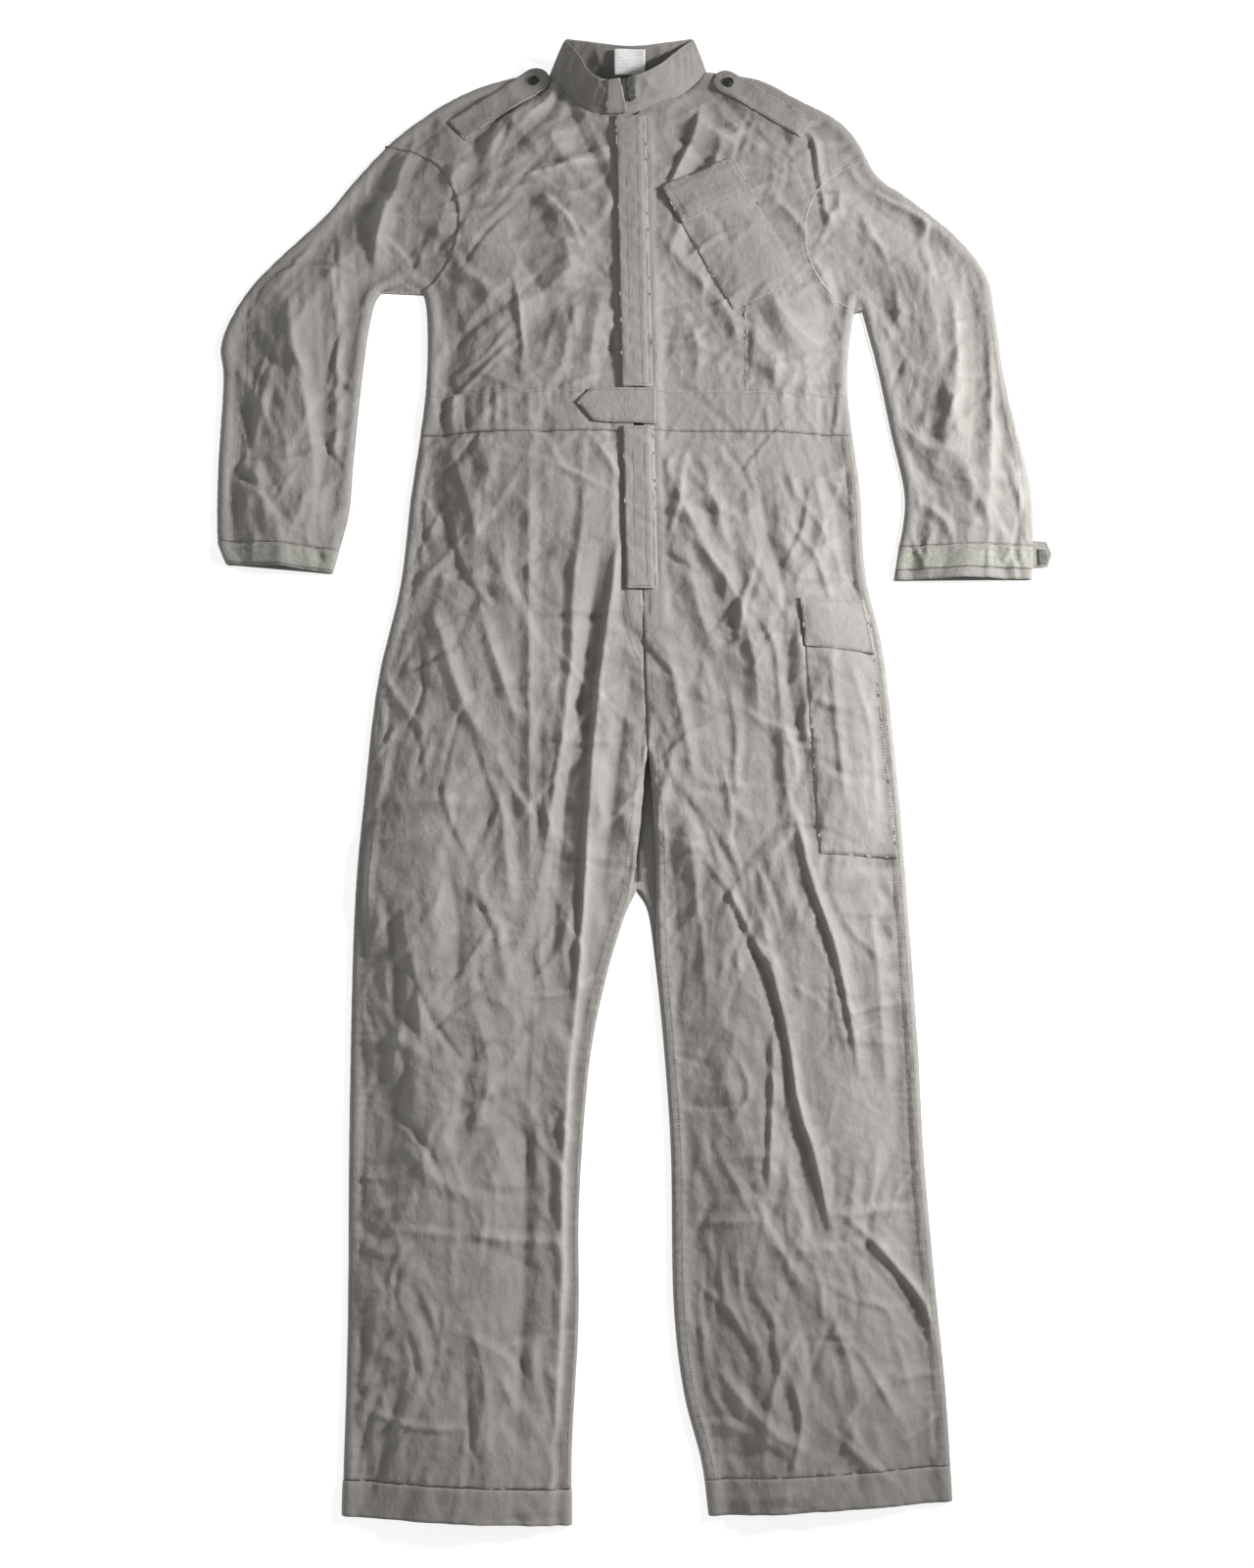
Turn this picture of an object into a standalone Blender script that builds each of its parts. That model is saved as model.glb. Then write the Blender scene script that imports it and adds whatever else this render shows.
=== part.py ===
"""A one-piece work coverall lying flat on its back, built from its sewn panels, bands and trims.

Metres, +Z up. The neck points to +Y and the legs to -Y. The origin is on the floor under the
middle of the garment's box. Right and left are the wearer's, so right is -X.
Every cloth piece is a thin closed plate. The back layer lies on the floor, and the front layer
stands clear of it and slopes down to the folded sides, so the garment is hollow from neck to hems.
"""

import math

import bmesh
import bpy
from mathutils import Vector
from mathutils.geometry import delaunay_2d_cdt

# Cloth and lay
CLOTH = 0.0025  # a panel's modelled thickness
LOFT = 0.024  # top of the front layer
SEAM_GAP = 0.0005  # clearance between two sewn panels
LAYER_GAP = 0.0006  # clearance between stacked layers
EDGE_TOP = 0.0056  # top of the front layer at a folded side
SHOULDER_IN = 0.010  # from the folded side to the first break of the slope
FLAT_IN = 0.040  # from the folded side to the flat top
SHOULDER_TOP = 0.0130  # top of the front layer at the first break
STEP = 0.022  # spacing of outline points

# Heights of the garment's cross cuts
WAIST_TOP_Y = 0.3910
WAIST_LOW_Y = 0.3430
NECK_LOW_Y = 0.7300
CROTCH_Y = -0.1740
HEM_HEIGHT = 0.034
CUFF_HEIGHT = 0.026

# Zip: a straight line that leans by ZIP_LEAN in x for each metre of y
ZIP_X = 0.0030
ZIP_MID_Y = 0.530
ZIP_LEAN = -0.0219
ZIP_TOP_Y = 0.7200
ZIP_LOW_Y = 0.1560
FRONT_EDGE = 0.0060  # from the zip's line to a front panel's edge
TEETH_IN = 0.0005
TEETH_OUT = 0.0022
TAPE_IN = 0.0026
TAPE_OUT = 0.0150
SLIDER_LENGTH = 0.011
SLIDER_HALF = 0.0046

# Storm flap over the zip, measured across from the zip's line
STORM_FREE = -0.0180
STORM_SEWN = 0.0170
STORM_TOP_Y = 0.7285
STORM_LOW_Y = 0.1580

# Stack on the front layer: loop patch, hook patch, flap
LOOP_LOW = LOFT + 0.0003
HOOK_LOW = LOFT + 0.0014
PATCH = 0.0008
FLAP_LOW = LOFT + 0.0025
FLAP = 0.0018

# Pockets
POCKET_ROOM = 0.0056  # free height inside a pocket
POCKET_WALL = 0.0030  # width of a pocket's side fold
POCKET_CLOTH = 0.0014

# Sleeve heads turn in round armholes
ARMHOLE_RADIUS = 0.100
ARMHOLE_RIGHT = (-0.300, 0.600)
ARMHOLE_LEFT = (0.300, 0.585)

OLIVE = (0.340, 0.330, 0.290)
PALE = (0.430, 0.440, 0.390)
DARK = (0.060, 0.060, 0.055)
METAL = (0.620, 0.560, 0.420)
WHITE = (0.800, 0.800, 0.780)

# Folded sides, from the hems and cuffs up. Each list runs with y rising.
SIDE_RIGHT = [
    (-0.294, -0.815), (-0.294, -0.62), (-0.298, -0.42), (-0.299, -0.20), (-0.291, -0.06),
    (-0.280, 0.06), (-0.258, 0.17), (-0.249, 0.27), (-0.236, 0.38), (-0.234, 0.46),
    (-0.240, 0.515), (-0.262, 0.531),
]
ARM_INNER_RIGHT = [
    (-0.336, 0.175), (-0.328, 0.209), (-0.318, 0.255), (-0.315, 0.31), (-0.309, 0.40),
    (-0.301, 0.48), (-0.290, 0.517), (-0.262, 0.531),
]
ARM_OUTER_RIGHT = [
    (-0.447, 0.185), (-0.463, 0.215), (-0.467, 0.30), (-0.4655, 0.41), (-0.4695, 0.458),
    (-0.446, 0.514), (-0.407, 0.562), (-0.359, 0.611), (-0.320, 0.662), (-0.276, 0.712),
    (-0.210, 0.762), (-0.147, 0.788), (-0.096, 0.794),
]
INSEAM_RIGHT = [
    (-0.062, -0.825), (-0.062, -0.74), (-0.056, -0.62), (-0.056, -0.50), (-0.046, -0.36),
    (-0.029, -0.27), (-0.010, -0.205), (0.004, CROTCH_Y),
]
SIDE_LEFT = [
    (0.324, -0.815), (0.320, -0.69), (0.313, -0.59), (0.305, -0.45), (0.302, -0.33),
    (0.294, -0.15), (0.288, -0.04), (0.277, 0.09), (0.260, 0.18), (0.256, 0.28),
    (0.245, 0.39), (0.249, 0.46), (0.2575, 0.507),
]
ARM_INNER_LEFT = [
    (0.291, 0.160), (0.292, 0.19), (0.303, 0.235), (0.306, 0.28), (0.293, 0.35),
    (0.281, 0.42), (0.270, 0.47), (0.2625, 0.500), (0.2575, 0.507),
]
ARM_OUTER_LEFT = [
    (0.444, 0.160), (0.449, 0.23), (0.448, 0.28), (0.437, 0.347), (0.423, 0.418),
    (0.416, 0.49), (0.408, 0.540), (0.376, 0.587), (0.322, 0.636), (0.286, 0.664),
    (0.262, 0.710), (0.238, 0.737), (0.195, 0.762), (0.147, 0.788), (0.087, 0.798),
]
INSEAM_LEFT = [
    (0.078, -0.825), (0.070, -0.76), (0.052, -0.69), (0.042, -0.60), (0.040, -0.45),
    (0.033, -0.34), (0.023, -0.24), (0.016, -0.195), (0.004, CROTCH_Y),
]

# Front neck seam, from the right neck point round to the left one
NECK_FRONT = [
    (-0.096, 0.794), (-0.080, 0.773), (-0.064, 0.753), (-0.047, 0.737), (-0.030, 0.7305),
    (-0.006, 0.7345), (0.010, 0.7420), (0.033, 0.753), (0.053, 0.764), (0.069, 0.777),
    (0.087, 0.798),
]
NECK_BACK = [(-0.096, 0.794), (-0.060, 0.775), (-0.004, 0.765), (0.052, 0.776), (0.087, 0.798)]


def clear_scene():
    for obj in list(bpy.data.objects):
        bpy.data.objects.remove(obj, do_unlink=True)


def make_material(name, colour, roughness, metallic=0.0):
    material = bpy.data.materials.new(name)
    material.use_nodes = True
    shader = material.node_tree.nodes["Principled BSDF"]
    shader.inputs["Base Color"].default_value = (*colour, 1.0)
    shader.inputs["Roughness"].default_value = roughness
    shader.inputs["Metallic"].default_value = metallic
    return material


def smooth(points, step=STEP):
    """A Catmull-Rom curve through the points, sampled about every step."""
    path = [Vector(p) for p in points]
    path = [2 * path[0] - path[1], *path, 2 * path[-1] - path[-2]]
    out = []
    for a, b, c, d in zip(path, path[1:], path[2:], path[3:]):
        count = max(1, round((c - b).length / step))
        for i in range(count):
            t = i / count
            out.append(
                0.5 * (2 * b + (c - a) * t + (2 * a - 5 * b + 4 * c - d) * t**2
                       + (3 * b - a - 3 * c + d) * t**3)
            )
    out.append(path[-2])
    return out


def cut(curve, low, high):
    """The stretch of a curve with rising y that lies between two heights."""
    out = [at_height(curve, low)]
    out += [p for p in curve if low < p.y < high]
    out.append(at_height(curve, high))
    return out


def at_height(curve, y):
    for a, b in zip(curve, curve[1:]):
        if a.y <= y <= b.y:
            return a.lerp(b, (y - a.y) / (b.y - a.y))
    return (curve[0] if y < curve[0].y else curve[-1]).copy()


def straight(start, end, step=STEP):
    start, end = Vector(start), Vector(end)
    count = max(1, round((end - start).length / step))
    return [start.lerp(end, i / count) for i in range(count + 1)]


def circle_crossing(curve, centre, radius):
    """The first point, from the curve's end backwards, that lies on the circle."""
    centre = Vector(centre)
    for a, b in zip(curve[::-1], curve[-2::-1]):
        far, near = (a - centre).length - radius, (b - centre).length - radius
        if far * near <= 0:
            return a.lerp(b, far / (far - near))
    return curve[0]


def arc(centre, start, end, radius):
    """Points on a circle from the bearing of start to the bearing of end, the short way."""
    centre = Vector(centre)
    first = math.atan2(start[1] - centre.y, start[0] - centre.x)
    last = math.atan2(end[1] - centre.y, end[0] - centre.x)
    turn = (last - first + math.pi) % (2 * math.pi) - math.pi
    count = max(2, round(abs(turn) * radius / 0.014))
    angles = [first + turn * i / count for i in range(count + 1)]
    return [centre + radius * Vector((math.cos(a), math.sin(a))) for a in angles]


def without_repeats(points, nearest):
    out = []
    for p in points:
        if not out or (p - out[-1]).length > nearest:
            out.append(p)
    if (out[0] - out[-1]).length <= nearest:
        out.pop()
    return out


def inset(points, gap):
    """A closed outline moved inwards by a gap. It first turns the outline anticlockwise."""
    points = without_repeats([Vector(p) for p in points], 0.0012 if gap else 0.0001)
    area = sum(a.x * b.y - b.x * a.y for a, b in zip(points, points[1:] + points[:1]))
    if area < 0:
        points.reverse()
    out = []
    for before, here, after in zip(points[-1:] + points[:-1], points, points[1:] + points[:1]):
        first = (here - before).normalized()
        second = (after - here).normalized()
        inward = Vector((-first.y - second.y, first.x + second.x)).normalized()
        sine = max(0.4, inward.dot(Vector((-first.y, first.x))))
        out.append(here + inward * gap / sine)
    return out


def to_segment(p, a, b):
    along = b - a
    t = max(0.0, min(1.0, (p - a).dot(along) / along.length_squared))
    return (p - a - along * t).length


def inside(p, outline):
    odd = False
    for a, b in zip(outline, outline[1:] + outline[:1]):
        if (a.y > p.y) != (b.y > p.y) and p.x < a.x + (p.y - a.y) / (b.y - a.y) * (b.x - a.x):
            odd = not odd
    return odd


FOLDED = {
    name: smooth(points)
    for name, points in {
        "side_right": SIDE_RIGHT, "arm_inner_right": ARM_INNER_RIGHT,
        "arm_outer_right": ARM_OUTER_RIGHT, "inseam_right": INSEAM_RIGHT,
        "side_left": SIDE_LEFT, "arm_inner_left": ARM_INNER_LEFT,
        "arm_outer_left": ARM_OUTER_LEFT, "inseam_left": INSEAM_LEFT,
    }.items()
}


def from_side(p):
    """Distance from a point to the nearest folded side."""
    return min(
        to_segment(p, a, b) for curve in FOLDED.values() for a, b in zip(curve, curve[1:])
    )


def front_top(x, y):
    """Height of the front layer's upper face."""
    distance = from_side(Vector((x, y)))
    if distance < SHOULDER_IN:
        return EDGE_TOP + (SHOULDER_TOP - EDGE_TOP) * distance / SHOULDER_IN
    rise = min(1.0, (distance - SHOULDER_IN) / (FLAT_IN - SHOULDER_IN))
    return SHOULDER_TOP + (LOFT - SHOULDER_TOP) * rise


def above_front(offset):
    return lambda x, y: front_top(x, y) + offset


def level(z):
    return lambda x, y: z


def break_points(outline):
    """Points inside an outline along the two breaks of the slope."""
    found = []
    for curve in FOLDED.values():
        for a, b in zip(curve, curve[1:]):
            normal = Vector((a.y - b.y, b.x - a.x)).normalized()
            for distance in (SHOULDER_IN, FLAT_IN):
                for side in (1, -1):
                    p = a + normal * distance * side
                    edges = zip(outline, outline[1:] + outline[:1])
                    if not inside(p, outline) or from_side(p) < distance - 0.001:
                        continue
                    if min(to_segment(p, c, d) for c, d in edges) < 0.006:
                        continue
                    if all((p - other).length > 0.010 for other in found):
                        found.append(p)
    return found


def plate(name, outline, low, high, material, pivot=(0, 0, 0), sloped=True, gap=SEAM_GAP / 2):
    """A closed solid over an outline, between two height functions of x and y."""
    outline = inset(outline, gap)
    points = outline + (break_points(outline) if sloped else [])
    ring = [list(range(len(outline)))]
    corners, _, faces, *_ = delaunay_2d_cdt(points, [], ring, 1, 1e-6)
    mesh = bmesh.new()
    base = [mesh.verts.new((p.x, p.y, 0)) for p in corners]
    for face in faces:
        mesh.faces.new([base[i] for i in face])
    grown = bmesh.ops.extrude_face_region(mesh, geom=mesh.faces[:])["geom"]
    upper = {v for v in grown if isinstance(v, bmesh.types.BMVert)}
    for vertex in mesh.verts:
        height = high if vertex in upper else low
        vertex.co.z = height(vertex.co.x, vertex.co.y)
    return finish_mesh(name, mesh, material, pivot)


def finish_mesh(name, mesh, material, pivot=(0, 0, 0)):
    """Turns a bmesh into an object whose origin is at the pivot."""
    bmesh.ops.translate(mesh, verts=mesh.verts, vec=-Vector(pivot))
    bmesh.ops.recalc_face_normals(mesh, faces=mesh.faces)
    data = bpy.data.meshes.new(name)
    mesh.to_mesh(data)
    mesh.free()
    data.materials.append(material)
    obj = bpy.data.objects.new(name, data)
    obj.location = pivot
    bpy.context.scene.collection.objects.link(obj)
    return obj


def fuse(target, others):
    """Joins helper solids into one object, and hides the helpers."""
    for other in others:
        union = target.modifiers.new("join_" + other.name, "BOOLEAN")
        union.operation = "UNION"
        union.object = other
        other.hide_render = True
        other.display_type = "WIRE"


def ribbon(name, lower, upper, thickness, material):
    """A cloth strip between two 3-D curves, thickened evenly about its middle."""
    mesh = bmesh.new()
    rows = [[mesh.verts.new(p) for p in smooth(curve, 1.0)] for curve in (lower, upper)]
    for i in range(len(rows[0]) - 1):
        mesh.faces.new([rows[0][i], rows[0][i + 1], rows[1][i + 1], rows[1][i]])
    obj = finish_mesh(name, mesh, material)
    solid = obj.modifiers.new("thickness", "SOLIDIFY")
    solid.thickness = thickness
    solid.offset = 0
    return obj


def zip_at(offset, y):
    """A point at a distance across from the zip's line."""
    return Vector((ZIP_X + ZIP_LEAN * (y - ZIP_MID_Y) + offset, y))


def zip_strip(offset_a, offset_b, low_y, high_y):
    return [
        zip_at(offset_a, low_y), zip_at(offset_b, low_y),
        zip_at(offset_b, high_y), zip_at(offset_a, high_y),
    ]


# Body panels


def armhole_ends(side):
    """Where a round armhole meets the shoulder and the underarm."""
    centre = ARMHOLE_RIGHT if side == "right" else ARMHOLE_LEFT
    top = circle_crossing(FOLDED["arm_outer_" + side], centre, ARMHOLE_RADIUS)
    low = circle_crossing(FOLDED["side_" + side], centre, ARMHOLE_RADIUS)
    return centre, top, low


def bodice_side(side):
    """From the waist up the folded side, round the armhole and along the shoulder to the neck."""
    centre, top, low = armhole_ends(side)
    flank = cut(FOLDED["side_" + side], WAIST_TOP_Y, low.y)
    hole = arc(centre, low, top, ARMHOLE_RADIUS + SEAM_GAP / 2)
    shoulder = cut(FOLDED["arm_outer_" + side], top.y, FOLDED["arm_outer_" + side][-1].y)
    return flank + hole + shoulder


def make_bodice(cloth):
    neck = smooth(NECK_FRONT)
    for side, sign in (("right", -1), ("left", 1)):
        edge = [zip_at(sign * FRONT_EDGE, WAIST_TOP_Y), zip_at(sign * FRONT_EDGE, NECK_LOW_Y)]
        half_neck = [p for p in neck if (p.x - edge[1].x) * sign > 0.004]
        if sign < 0:
            half_neck.reverse()
        outline = straight(*edge) + half_neck + bodice_side(side)[::-1]
        outline += straight(outline[-1], edge[0])
        plate("front_bodice_" + side, outline, above_front(-CLOTH), above_front(0), cloth)
    outline = bodice_side("right") + smooth(NECK_BACK) + bodice_side("left")[::-1]
    plate("back_bodice", outline, level(0), level(CLOTH), cloth, sloped=False)


def make_waistband(cloth):
    low, high = WAIST_LOW_Y + SEAM_GAP, WAIST_TOP_Y - SEAM_GAP
    sides = {side: cut(FOLDED["side_" + side], low, high) for side in ("right", "left")}
    for side, sign in (("right", -1), ("left", 1)):
        inner = straight(zip_at(sign * FRONT_EDGE, high), zip_at(sign * FRONT_EDGE, low))
        outline = inner + straight(inner[-1], sides[side][0]) + sides[side]
        outline += straight(sides[side][-1], inner[0])
        name = "waistband_front_" + side
        plate(name, outline, above_front(-CLOTH), above_front(0), cloth)
    outline = sides["right"] + sides["left"][::-1]
    plate("waistband_back", outline, level(0), level(CLOTH), cloth, sloped=False)


def hem_line(side):
    """The top of a hem band: its height at the folded side and at the inseam."""
    return (-0.776, -0.785) if side == "right" else (-0.762, -0.776)


def make_trousers(cloth):
    for side, sign in (("right", -1), ("left", 1)):
        outer_hem, inner_hem = hem_line(side)
        outer = cut(FOLDED["side_" + side], outer_hem, WAIST_LOW_Y)
        inner = cut(FOLDED["inseam_" + side], inner_hem, CROTCH_Y)
        rise = straight(inner[-1], zip_at(0, 0.073)) + straight(zip_at(0, 0.073), zip_at(0, 0.146))
        front_edge = straight(zip_at(sign * FRONT_EDGE, 0.148), zip_at(sign * FRONT_EDGE, WAIST_LOW_Y))
        hem = straight(outer[0], inner[0])
        front = outer[::-1] + hem + inner + rise + front_edge
        front += straight(front_edge[-1], outer[-1])
        name = "trouser_front_" + side
        plate(name, front, above_front(-CLOTH), above_front(0), cloth)
        seat = straight(inner[-1], zip_at(0, WAIST_LOW_Y))
        back = outer[::-1] + hem + inner + seat + straight(seat[-1], outer[-1])
        plate("trouser_back_" + side, back, level(0), level(CLOTH), cloth, sloped=False)


def flat_ring(name, upper_ends, lower_ends, material, floor=0.0):
    """A flattened tube of cloth, open at both ends. Its ends are pairs of points: outer, inner."""
    mesh = bmesh.new()
    loops = []
    for ends in (upper_ends, lower_ends):
        a, b = (Vector(p) for p in ends)
        width = (b - a).length
        outside = [
            (0, 0), (width, 0), (width, EDGE_TOP), (width - SHOULDER_IN, SHOULDER_TOP),
            (width - FLAT_IN, LOFT), (FLAT_IN, LOFT), (SHOULDER_IN, SHOULDER_TOP), (0, EDGE_TOP),
        ]
        hollow = [
            (0.005, CLOTH), (width - 0.005, CLOTH), (width - 0.005, 2 * CLOTH),
            (width - SHOULDER_IN - 0.001, SHOULDER_TOP - CLOTH - 0.0005),
            (width - FLAT_IN - 0.0005, LOFT - CLOTH), (FLAT_IN + 0.0005, LOFT - CLOTH),
            (SHOULDER_IN + 0.001, SHOULDER_TOP - CLOTH - 0.0005), (0.005, 2 * CLOTH),
        ]
        for section in (outside, hollow):
            spots = [(a.lerp(b, s / width), z + (floor if z <= 2 * CLOTH else 0)) for s, z in section]
            loops.append([mesh.verts.new((p.x, p.y, z)) for p, z in spots])
    first_out, first_in, last_out, last_in = loops
    for one, two in ((first_out, last_out), (last_out, last_in), (last_in, first_in), (first_in, first_out)):
        for i in range(len(one)):
            j = (i + 1) % len(one)
            mesh.faces.new([one[i], one[j], two[j], two[i]])
    return finish_mesh(name, mesh, material)


def make_hems(cloth):
    for side in ("right", "left"):
        outer_hem, inner_hem = hem_line(side)
        outer, inner = FOLDED["side_" + side], FOLDED["inseam_" + side]
        upper = (at_height(outer, outer_hem - SEAM_GAP), at_height(inner, inner_hem - SEAM_GAP))
        lower = (
            at_height(outer, outer_hem - HEM_HEIGHT), at_height(inner, inner_hem - HEM_HEIGHT),
        )
        flat_ring("hem_band_" + side, upper, lower, cloth)


# Sleeves


def cuff_line(side):
    """The top of a cuff: its height at the outer and at the inner folded side."""
    return (0.2190, 0.2080) if side == "right" else (0.2130, 0.2120)


def make_sleeves(cloth, pale, dark):
    for side, sign in (("right", -1), ("left", 1)):
        centre, top, low = armhole_ends(side)
        outer_cuff, inner_cuff = cuff_line(side)
        outer = cut(FOLDED["arm_outer_" + side], outer_cuff, top.y)
        inner = cut(FOLDED["arm_inner_" + side], inner_cuff, low.y)
        head = arc(centre, top, low, ARMHOLE_RADIUS - SEAM_GAP / 2)
        outline = outer + head + inner[::-1] + straight(inner[0], outer[0])
        pivot = (*centre, 0)
        upper = ("sleeve_upper_" + side, above_front(-CLOTH), above_front(0), True)
        under = ("sleeve_under_" + side, level(0), level(CLOTH), False)
        for name, bottom, lid, sloped in (upper, under):
            plate(name, outline, bottom, lid, cloth, pivot=pivot, sloped=sloped)
        make_cuff(side, sign, cloth, pale, dark)


def make_cuff(side, sign, cloth, pale, dark):
    outer_cuff, inner_cuff = cuff_line(side)
    outer, inner = FOLDED["arm_outer_" + side], FOLDED["arm_inner_" + side]
    height = CUFF_HEIGHT if side == "right" else 0.038
    upper = (at_height(outer, outer_cuff - SEAM_GAP), at_height(inner, inner_cuff - SEAM_GAP))
    lower = (at_height(outer, outer_cuff - height), at_height(inner, inner_cuff - height))
    # The right cuff rests on its own tab, which is folded back under it.
    flat_ring("cuff_" + side, upper, lower, cloth, floor=0.0020 if side == "right" else 0.0)
    middle = (upper[0] + upper[1]) / 2
    along = (upper[1] - upper[0]).normalized()
    down = Vector((along.y, -along.x)) * -sign
    top = middle + down * 0.0045
    patch = [top - along * 0.018, top + along * 0.018]
    patch += [p + down * 0.018 for p in patch[::-1]]
    plate("cuff_loop_" + side, patch, level(LOOP_LOW), level(LOOP_LOW + PATCH), pale, sloped=False)
    if side == "right":
        start = lower[0].lerp(upper[0], 0.12) + Vector((0.003, 0))
        tab = [start, start + Vector((0.062, -0.004)), start + Vector((0.062, 0.017))]
        tab.append(start + Vector((0, 0.021)))
        plate("cuff_tab_right", tab, level(0.0), level(0.0015), cloth, sloped=False)
        return
    pivot = (0.4490, 0.205, 0.0030)
    tab = [(0.4495, 0.188), (0.4640, 0.190), (0.4695, 0.205), (0.4640, 0.220), (0.4495, 0.222)]
    plate("cuff_tab_left", tab, level(0.0), level(0.0018), cloth, pivot=pivot, sloped=False, gap=0)
    hook = [(0.4525, 0.192), (0.4620, 0.194), (0.4655, 0.202), (0.4620, 0.210), (0.4525, 0.211)]
    plate("cuff_hook_left", hook, level(0.0021), level(0.0029), dark, pivot=pivot, sloped=False)


# Collar


COLLAR_TOP_RIGHT = [
    (-0.079, 0.8165, 0.040), (-0.063, 0.794, 0.045), (-0.053, 0.772, 0.050),
    (-0.034, 0.7580, 0.052), (-0.0130, 0.7575, 0.052),
]
COLLAR_LOW_RIGHT = [
    (-0.093, 0.7980, 0.012), (-0.079, 0.779, 0.018), (-0.062, 0.758, 0.024),
    (-0.044, 0.742, 0.0270), (-0.0130, 0.7370, 0.0270),
]
COLLAR_TOP_LEFT = [
    (-0.0120, 0.7575, 0.052), (0.008, 0.7635, 0.052), (0.031, 0.7765, 0.050),
    (0.050, 0.796, 0.045), (0.072, 0.8165, 0.040),
]
COLLAR_LOW_LEFT = [
    (-0.0120, 0.7370, 0.0270), (0.010, 0.7475, 0.0270), (0.034, 0.759, 0.026),
    (0.055, 0.772, 0.020), (0.084, 0.8010, 0.012),
]
COLLAR_TOP_BACK = [
    (-0.074, 0.8180, 0.038), (-0.050, 0.812, 0.042), (-0.004, 0.806, 0.044),
    (0.040, 0.811, 0.042), (0.067, 0.8180, 0.038),
]
COLLAR_LOW_BACK = [
    (-0.084, 0.8000, 0.0075), (-0.056, 0.783, 0.0055), (-0.004, 0.771, 0.0050),
    (0.048, 0.783, 0.0055), (0.076, 0.8020, 0.0075),
]


def make_collar(cloth, pale, white):
    ribbon("collar_front_right", COLLAR_LOW_RIGHT, COLLAR_TOP_RIGHT, 0.0020, cloth)
    ribbon("collar_front_left", COLLAR_LOW_LEFT, COLLAR_TOP_LEFT, 0.0020, cloth)
    ribbon("collar_back", COLLAR_LOW_BACK, COLLAR_TOP_BACK, 0.0020, cloth)
    low, top = COLLAR_LOW_RIGHT[-1], COLLAR_TOP_RIGHT[-1]
    lean = (top[2] - low[2]) / (top[1] - low[1])

    def over_collar(offset):
        return lambda x, y: low[2] + lean * (y - low[1]) + offset

    tab = [(-0.0300, 0.7330), (-0.0060, 0.7345), (-0.0150, 0.7575), (-0.0290, 0.7560)]
    pivot = (-0.0300, 0.7330, 0.0265)
    plate("collar_tab", tab, over_collar(0.0036), over_collar(0.0052), cloth, pivot=pivot, sloped=False)
    hook = [(-0.0200, 0.7385), (-0.0110, 0.7390), (-0.0155, 0.7550), (-0.0200, 0.7550)]
    plate("collar_tab_hook", hook, over_collar(0.0026), over_collar(0.0032), pale, pivot=pivot, sloped=False)
    patch = [(-0.0040, 0.7440), (0.0030, 0.7480), (0.0010, 0.7590), (-0.0080, 0.7565)]
    plate("collar_loop_patch", patch, over_collar(0.0024), over_collar(0.0032), pale, sloped=False)
    lower = [(-0.021, 0.7830, 0.0230), (-0.003, 0.7805, 0.0230), (0.015, 0.7830, 0.0230)]
    upper = [(-0.021, 0.8000, 0.0395), (-0.003, 0.7980, 0.0400), (0.015, 0.8000, 0.0395)]
    ribbon("care_label", lower, upper, 0.0006, white)


# Zip and its cover


def make_zip(cloth, metal, dark):
    for side, sign in (("right", -1), ("left", 1)):
        tape = zip_strip(sign * TAPE_IN, sign * TAPE_OUT, ZIP_LOW_Y - 0.008, ZIP_TOP_Y + 0.006)
        plate("zip_tape_" + side, tape, level(LOFT - 0.0040), level(LOFT - 0.0030), cloth, sloped=False, gap=0)
        teeth = zip_strip(sign * TEETH_IN, sign * TEETH_OUT, ZIP_LOW_Y + 0.004, ZIP_TOP_Y)
        plate("zip_teeth_" + side, teeth, level(LOFT - 0.0046), level(LOFT - 0.0022), metal, sloped=False, gap=0)
        stop = zip_strip(sign * TEETH_IN, sign * TEETH_OUT, ZIP_TOP_Y + 0.0004, ZIP_TOP_Y + 0.0030)
        plate("zip_top_stop_" + side, stop, level(LOFT - 0.0048), level(LOFT - 0.0019), metal, sloped=False, gap=0)
    end = zip_strip(-TEETH_OUT, TEETH_OUT, ZIP_LOW_Y, ZIP_LOW_Y + 0.0036)
    plate("zip_bottom_stop", end, level(LOFT - 0.0048), level(LOFT - 0.0019), metal, sloped=False, gap=0)
    make_slider(metal)


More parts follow.
